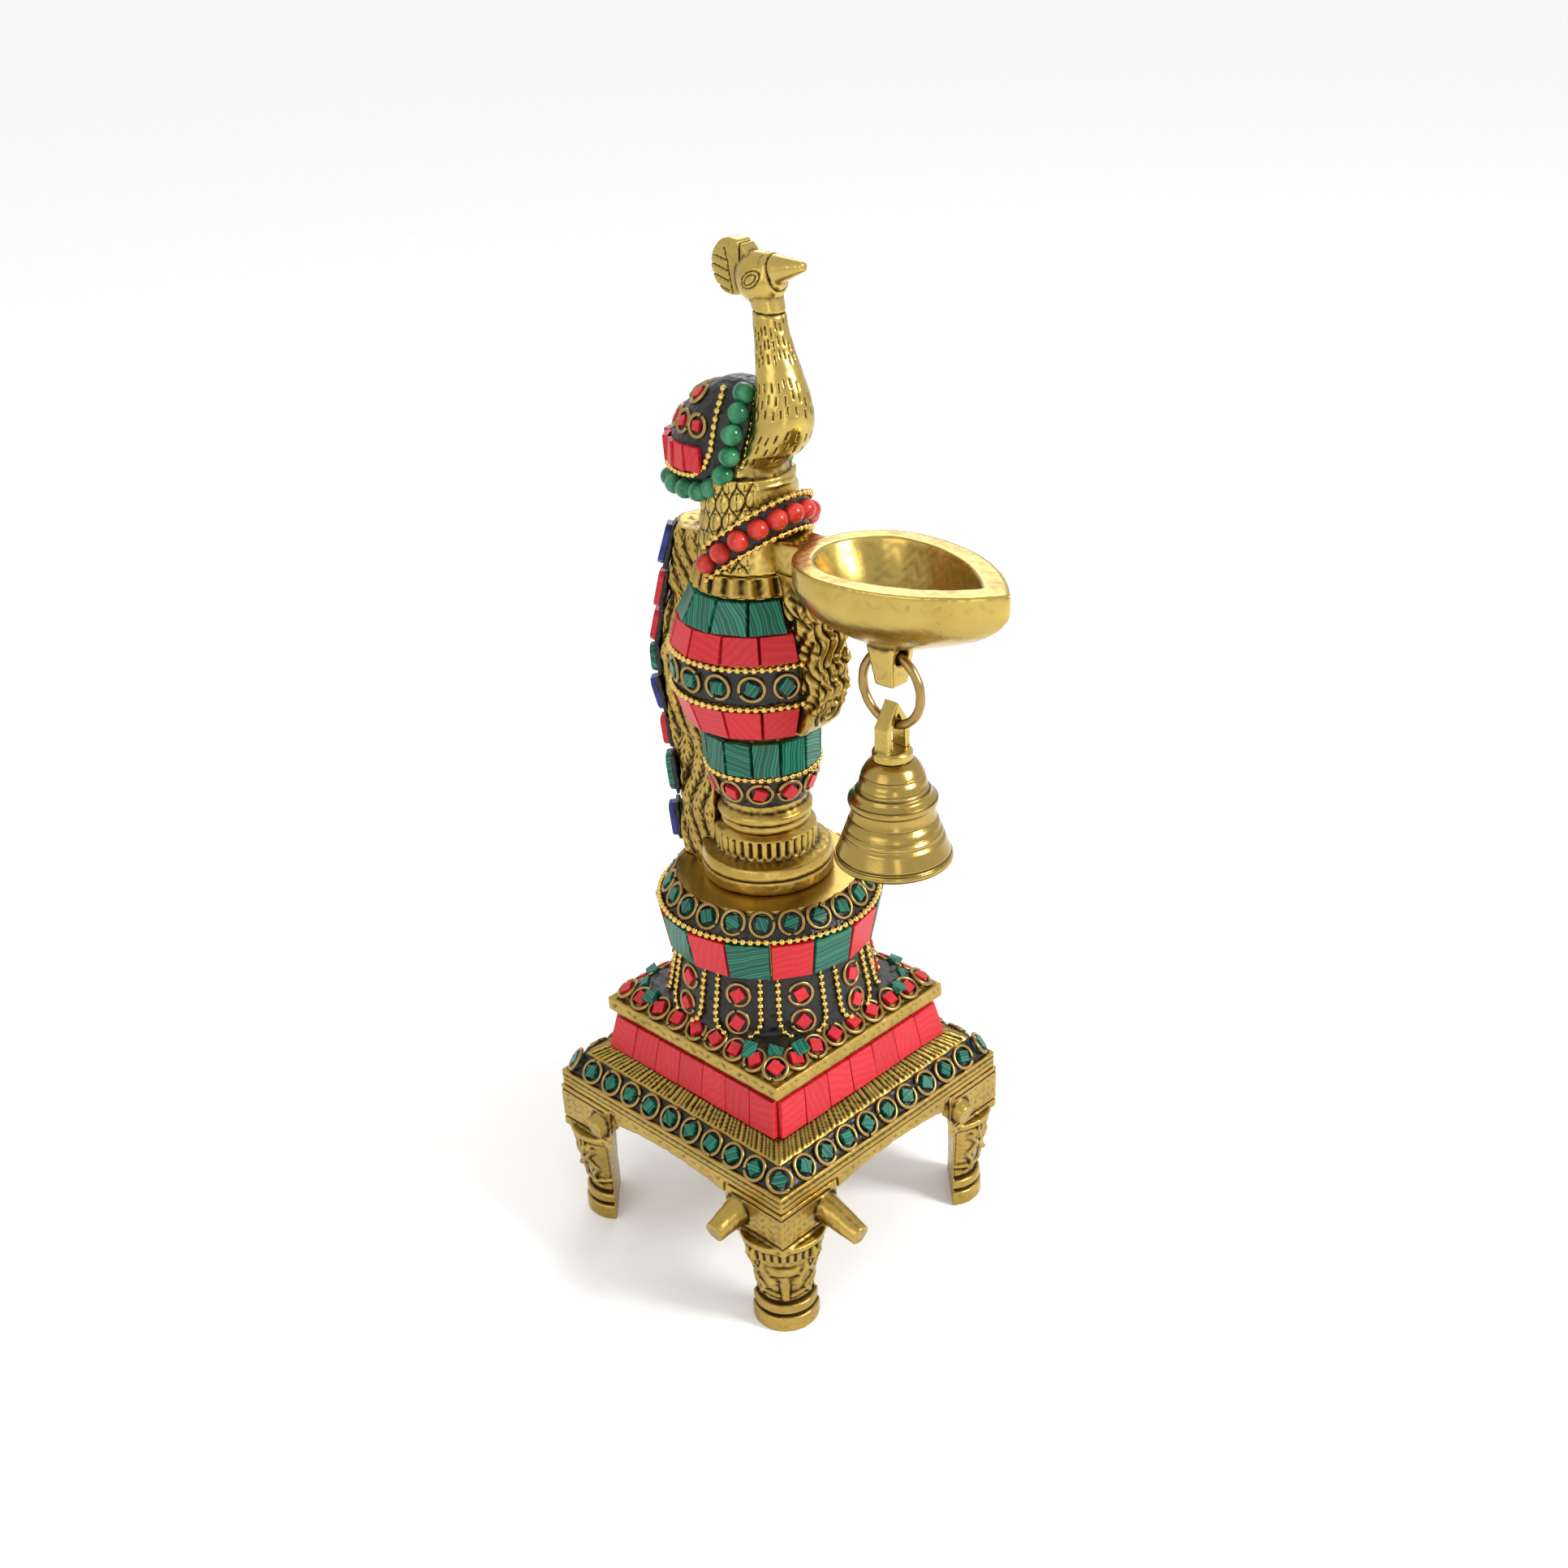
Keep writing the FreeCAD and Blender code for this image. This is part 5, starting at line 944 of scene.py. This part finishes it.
def bracket_relief(points, normals):
    """Curling tendrils down the arm, beads where they meet, and a rosette at its foot."""
    x, y, z = points.T
    low, high = box_mm("front_bracket")
    tendril = 3.4
    reach = np.hypot(x, y)
    flow = y + 1.5 * np.sin(z * 0.46) + 0.6 * np.sin(z * 1.1 + reach)
    cell = flow / tendril
    edge = np.abs(cell - np.round(cell)) * tendril
    leaf = band(z, low[2] + 8, high[2] - 6, 2.0)
    height = leaf * (0.38 * np.cos(cell * 2 * math.pi) - 0.40 * groove(edge - 1.7, 0.40))
    side = step(np.abs(normals[:, 1]), 0.55, 0.3)
    bend = reach - 2.0 * np.sin(z * 0.40 + 1.0)
    height += side * leaf * (0.42 * np.cos(bend * 2 * math.pi / 3.8))
    for level, turn in ((low[2] + 6.5, 1), (low[2] + 19.0, -1), (low[2] + 31.0, 1)):
        distance = np.hypot(y, z - level)
        spiral = np.cos(distance * 2 * math.pi / 2.3 - turn * np.arctan2(z - level, y))
        height += (1 - step(distance, 4.4, 1.2)) * 0.36 * spiral
    return height + 0.22 * ripple(points, 2.1, 3.0) + 0.07 * ripple(points, 0.8, 1.0)


def bowl_relief(points, normals):
    """The gentle waves that hand polishing leaves."""
    return 0.10 * ripple(points, 4.5, 2.0) + 0.025 * ripple(points, 1.1, 5.0)


def bowl_shade(points, normals):
    """Old oil stains in the hollow, strongest where the bowl meets the arm."""
    x, _, z = points.T
    rim, arm = 209.5, 24
    inside = (normals[:, 2] > 0.1) & (z < rim) & (x > arm)
    stain = np.clip(ripple(points, 2.4, 9.0) * 1.2 - 0.45, 0, 0.30)
    return inside * stain * step(40.0, x, 14.0)


def lumpy(size, seed):
    """Return a relief of small irregular lumps."""
    def relief(points, normals):
        return size * (ripple(points, 1.5, seed) + 0.6 * ripple(points, 0.7, seed + 2))
    return relief


# -------- turned pieces

def lathe(name, outline, slot, body, replaced, middle):
    """Turn a closed outline of (radius, height) pairs in millimetres about a vertical line."""
    segments = 112
    trim = Trim()
    points = []
    for index in range(segments):
        angle = 2 * math.pi * index / segments
        for radius, height in outline:
            points.append([middle[0] + radius * MM * math.cos(angle),
                           middle[1] + radius * MM * math.sin(angle), height * MM])
    trim.add(points, grid_faces(segments, segments, len(outline)))
    piece = trim.finish(name, slot, body, replaced)
    write_points(piece.data, "cavity", np.tile(outline_hollows(outline), segments))


def outline_hollows(outline):
    """Mark the outline's sharp inward corners, where dirt stays after turning."""
    points = np.array(outline)
    before = np.roll(points, 1, 0)
    after = np.roll(points, -1, 0)
    cross = (points - before)[:, 0] * (after - points)[:, 1]
    cross = cross - (points - before)[:, 1] * (after - points)[:, 0]
    length = np.linalg.norm(points - before, axis=1) * np.linalg.norm(after - points, axis=1)
    bend = cross / np.maximum(length, 1e-9)
    return np.where((bend < -0.25) & (length < 0.35), 1.0, 0.0)


def grooved(outline, cuts):
    """Cut narrow turned grooves into an outline, at the given heights."""
    depth, width = 0.42, 0.50
    profile = ((width, 0), (width * 0.5, depth), (-width * 0.5, depth), (-width, 0))
    made = []
    for (r0, z0), (r1, z1) in zip(outline, outline[1:]):
        made.append((r0, z0))
        sign = 1 if z0 > z1 else -1
        crossed = [level for level in cuts if min(z0, z1) < level < max(z0, z1)]
        for level in sorted(crossed, reverse=bool(z0 > z1)):
            for shift, cut in profile:
                height = level + sign * shift
                share = (height - z0) / (z1 - z0)
                made.append((r0 + (r1 - r0) * share - cut, height))
    made.append(outline[-1])
    return made


def rounded(outline, size):
    """Round an open outline's corners with short arcs of three points."""
    made = [outline[0]]
    for before, here, after in zip(outline, outline[1:], outline[2:]):
        spot = np.array(here)
        back = np.array(before) - spot
        ahead = np.array(after) - spot
        reach = min(size, 0.4 * np.linalg.norm(back), 0.4 * np.linalg.norm(ahead))
        first = spot + unit(back) * reach
        last = spot + unit(ahead) * reach
        made += [tuple(first), tuple((first + last + 2 * spot) / 4), tuple(last)]
    made.append(outline[-1])
    return made


def make_bell():
    """Turn the bell's stepped outside and plain inside, which keep the CAD bell's box."""
    low, high = box_mm("bell_shell")
    middle = ((low + high) / 2 * MM)[:2]
    rim = (high[0] - low[0]) / 2
    base = low[2]
    outer = rounded([
        (1.7, high[2]), (4.8, high[2]), (6.6, high[2] - 1.2), (7.9, high[2] - 3.4),
        (8.6, high[2] - 6.4), (9.7, high[2] - 8.6), (9.9, base + 18.6), (11.3, base + 17.6),
        (11.5, base + 16.6), (11.3, base + 15.8), (10.4, base + 15.2), (10.9, base + 12.6),
        (12.0, base + 9.6), (13.4, base + 5.6), (14.6, base + 2.4), (rim - 0.1, base + 1.3),
        (rim, base + 0.5), (rim - 0.5, base)], 0.5)
    outer = grooved(outer, (base + 2.0, base + 7.2, base + 9.0, base + 12.0, base + 20.3,
                            base + 23.6))
    inner = [(rim - 1.5, base), (rim - 2.2, base + 2.4), (11.3, base + 7.6), (9.4, base + 13.0),
             (7.8, base + 19.0), (5.6, base + 24.0), (1.7, base + 24.8)]
    lathe("bell_turned", outer + inner, "turned_brass", "bell", ("bell_shell",), middle)


def make_ring():
    """Bend the ring that hangs in the lug, a little worn where it rubs."""
    low, high = box_mm("hanging_ring")
    middle = (low + high) / 2 * MM
    wire = (high[1] - low[1]) / 2
    radius = (high[0] - low[0]) / 2 - wire
    turns = 120
    around = 16
    points = []
    for index in range(turns):
        angle = 2 * math.pi * index / turns
        radial = np.array([math.cos(angle), 0, math.sin(angle)])
        worn = 1 - 0.05 * abs(math.sin(angle * 6.5 + 0.7)) ** 3
        for part in range(around):
            turn = 2 * math.pi * part / around
            push = radial * math.cos(turn) + np.array([0, 1, 0]) * math.sin(turn)
            points.append(middle + (radial * radius + push * wire * worn) * MM)
    trim = Trim()
    trim.add(points, grid_faces(turns, turns, around))
    trim.finish("ring_bent", "wire_brass", "ring", ("hanging_ring",))


# -------- the lamp

def make_castings():
    """Rebuild the cast nodes; the number after the node is the remesh's voxel in millimetres."""
    cast("stool_cast", ("stool_plate",), 0.42, "cast_brass", stool_relief, rounds=1)
    for leg, turn in (("front", -45), ("right", 45), ("back", 135), ("left", -135)):
        cast("leg_%s_cast" % leg, ("leg_%s" % leg,), 0.32, "cast_brass", leg_relief(turn),
             wear=0.040)
    cast("lotus_cast", ("lotus_plate",), 0.5, "cast_brass", plate_relief)
    cast("column_foot_cast", ("column_foot",), 0.32, "cast_brass", foot_relief)
    # the vase's brass gets painted shade behind its tile rows
    cast("vase_cast", ("vase_body",), 0.36, "cast_brass", vase_relief, shade=vase_painted_shade)
    high = box_mm("front_bracket")[1]
    knobs = [add_ball(high[0] - 3.4, side, high[2] - 9.0, 2.4) for side in (-4.4, 4.4)]
    cast("bracket_cast", ("front_bracket",), 0.26, "cast_brass", bracket_relief, knobs)
    cast("peacock_cast", ("peacock_figure",), 0.30, "bright_brass", peacock_relief, rounds=3,
         wear=0.030)
    cast("tail_cast", ("tail_plume",), 0.40, "cast_brass", tail_relief)
    cast("bowl_cast", ("diya_bowl",), 0.40, "bright_brass", bowl_relief, rounds=4,
         shade=bowl_shade)
    cast("hanger_cast", ("bell_hanger",), 0.14, "bright_brass", lumpy(0.05, 3.0), rounds=9)
    cast("clapper_cast", ("clapper",), 0.12, "turned_brass")


def make_resin():
    """Rebuild the beds of black filler that hold the stones."""
    for seed, (node, voxel) in enumerate((
            ("stool_resin_bed", 0.42), ("lotus_resin_bed", 0.42), ("drum_resin_bed", 0.36),
            ("neck_resin_band", 0.30), ("belly_resin_band", 0.34), ("collar_resin_band", 0.30),
            ("back_resin_shell", 0.32), ("tail_resin_settings", 0.32)), 1):
        cast(node + "_poured", (node,), voxel, "black_resin", lumpy(0.16, float(seed)), rounds=1)


CHIP = {"spin": 50, "rise": 0.05, "lean": 0.08, "jitter": 0.16, "grow": 1.32, "bevel": 0.06}
CURVED_TILE = {"lean": 0.012}
STONE_CUTS = (
    ("stool_malachite_stones", CHIP),
    ("plinth_coral_tiles", {"jitter": 0.10, "bevel": 0.22, "lean": 0.010}),
    ("lotus_coral_stones", CHIP),
    ("lotus_malachite_chips", {"spin": 60, "rise": 0.3, "lean": 0.2, "jitter": 0.3, "grow": 1.5}),
    ("drum_coral_tiles", CURVED_TILE),
    ("drum_malachite_tiles", CURVED_TILE),
    ("drum_malachite_stones", CHIP),
    ("neck_coral_stones", CHIP),
    ("neck_malachite_tiles", CURVED_TILE),
    ("belly_coral_tiles", CURVED_TILE),
    ("belly_malachite_stones", CHIP),
    ("shoulder_coral_tiles", CURVED_TILE),
    ("shoulder_malachite_tiles", CURVED_TILE),
    ("back_coral_stones", {"jitter": 0.15, "lean": 0.05, "away": from_body}),
    ("tail_lapis_slabs", {"cut": 0.45, "bevel": 0.3, "lean": 0.05}),
    ("tail_coral_slabs", {"cut": 0.40, "bevel": 0.3, "lean": 0.05}),
    ("tail_malachite_slabs", {"cut": 0.50, "bevel": 0.3, "lean": 0.05}),
)
RINGED_STONES = (
    ("stool_wire_rings", "stool_malachite_stones"),
    ("lotus_wire_rings", "lotus_coral_stones"),
    ("drum_wire_rings", "drum_malachite_stones"),
    ("neck_wire_rings", "neck_coral_stones"),
    ("belly_wire_rings", "belly_malachite_stones"),
)


def make_trim():
    """Set the stones, then their wire rings, the ball chains and the cabochons."""
    for seed, (node, cut) in enumerate(STONE_CUTS, 1):
        set_stones(node, seed, **cut)
    for seed, (rings, inside) in enumerate(RINGED_STONES, 30):
        wire_rings(rings, inside, seed)
    wire_rings("back_wire_rings", "back_wire_rings", 35, from_body, BACK_RING_RADIUS)
    for seed, node in enumerate(("drum_bead_chain", "neck_bead_chain", "belly_bead_chains"), 40):
        hoop_chain(node, 2.05, seed)
    petal_chains("petal_bead_chains", 2.0, 43)
    bead_balls("collar_bead_chains", 44)
    bead_balls("back_bead_chains", 45)
    cabochons("back_green_cabochons", 46)
    cabochons("collar_coral_cabochons", 47)


# -------- floor, lights and camera

FLOOR_SIZE = 14  # metres
WORLD_STRENGTH = 0.98
LIGHTS = (
    # name, place in metres, size in metres, power in watts
    ("key", (0.95, 0.35, 0.80), (0.30, 0.30), 12.0),
    ("fill", (0.1, -0.95, 0.55), (0.6, 0.5), 1.5),
    ("rim", (-0.5, 0.55, 0.7), (0.3, 0.4), 1.2),
    ("strip", (0.9, -0.75, 0.15), (0.12, 0.7), 0.8),
)
LIGHT_TARGET = (0, 0, 0.14)


def make_stage():
    """Lay a white floor under a white sky; plain sRGB keeps both white."""
    bpy.ops.mesh.primitive_plane_add(size=FLOOR_SIZE, location=(0, 0, 0))
    floor = bpy.context.object
    floor.name = "floor"
    floor.data.materials.append(MATERIALS["floor"])
    world = bpy.data.worlds.new("studio")
    bpy.context.scene.world = world
    world.use_nodes = True
    background = world.node_tree.nodes["Background"]
    background.inputs["Color"].default_value = (1.0, 1.0, 1.0, 1)
    background.inputs["Strength"].default_value = WORLD_STRENGTH
    bpy.context.scene.view_settings.view_transform = "Standard"


def area_light(name, place, size, power):
    """Aim a rectangular light at the lamp."""
    data = bpy.data.lights.new(name, "AREA")
    data.shape = "RECTANGLE"
    data.size, data.size_y = size
    data.energy = power
    light = bpy.data.objects.new(name, data)
    light.location = place
    aim = Vector(LIGHT_TARGET) - Vector(place)
    light.rotation_euler = aim.to_track_quat("-Z", "Y").to_euler()
    bpy.context.scene.collection.objects.link(light)


CAMERA_DISTANCE = 0.450  # metres from the lamp's axis
CAMERA_AZIMUTH = math.radians(-43.98)
CAMERA_HEIGHT = 0.3665
LOOK_AZIMUTH = -0.77927  # radians, like the tilt and the roll
LOOK_TILT = 0.46997
LOOK_ROLL = -0.04373
LENS = 43.2  # millimetres
SENSOR = 36


def make_camera():
    """Stand the camera in front of the lamp's corner, a little above it, looking down."""
    forward = Vector((-math.cos(LOOK_AZIMUTH) * math.cos(LOOK_TILT),
                      -math.sin(LOOK_AZIMUTH) * math.cos(LOOK_TILT), -math.sin(LOOK_TILT)))
    right = forward.cross(Vector((0, 0, 1))).normalized()
    up = right.cross(forward)
    rolled_right = right * math.cos(LOOK_ROLL) + up * math.sin(LOOK_ROLL)
    rolled_up = up * math.cos(LOOK_ROLL) - right * math.sin(LOOK_ROLL)
    place = Vector((CAMERA_DISTANCE * math.cos(CAMERA_AZIMUTH),
                    CAMERA_DISTANCE * math.sin(CAMERA_AZIMUTH), CAMERA_HEIGHT))
    data = bpy.data.cameras.new("camera")
    data.lens = LENS
    data.sensor_width = SENSOR
    data.clip_end = 50
    camera = bpy.data.objects.new("camera", data)
    facing = Matrix((rolled_right, rolled_up, -forward)).transposed().to_4x4()
    camera.matrix_world = Matrix.Translation(place) @ facing
    bpy.context.scene.collection.objects.link(camera)
    bpy.context.scene.camera = camera


make_camera()
make_castings()
make_resin()
make_trim()
make_bell()
make_ring()
make_stage()
for light_row in LIGHTS:
    area_light(*light_row)

bpy.context.view_layer.update()
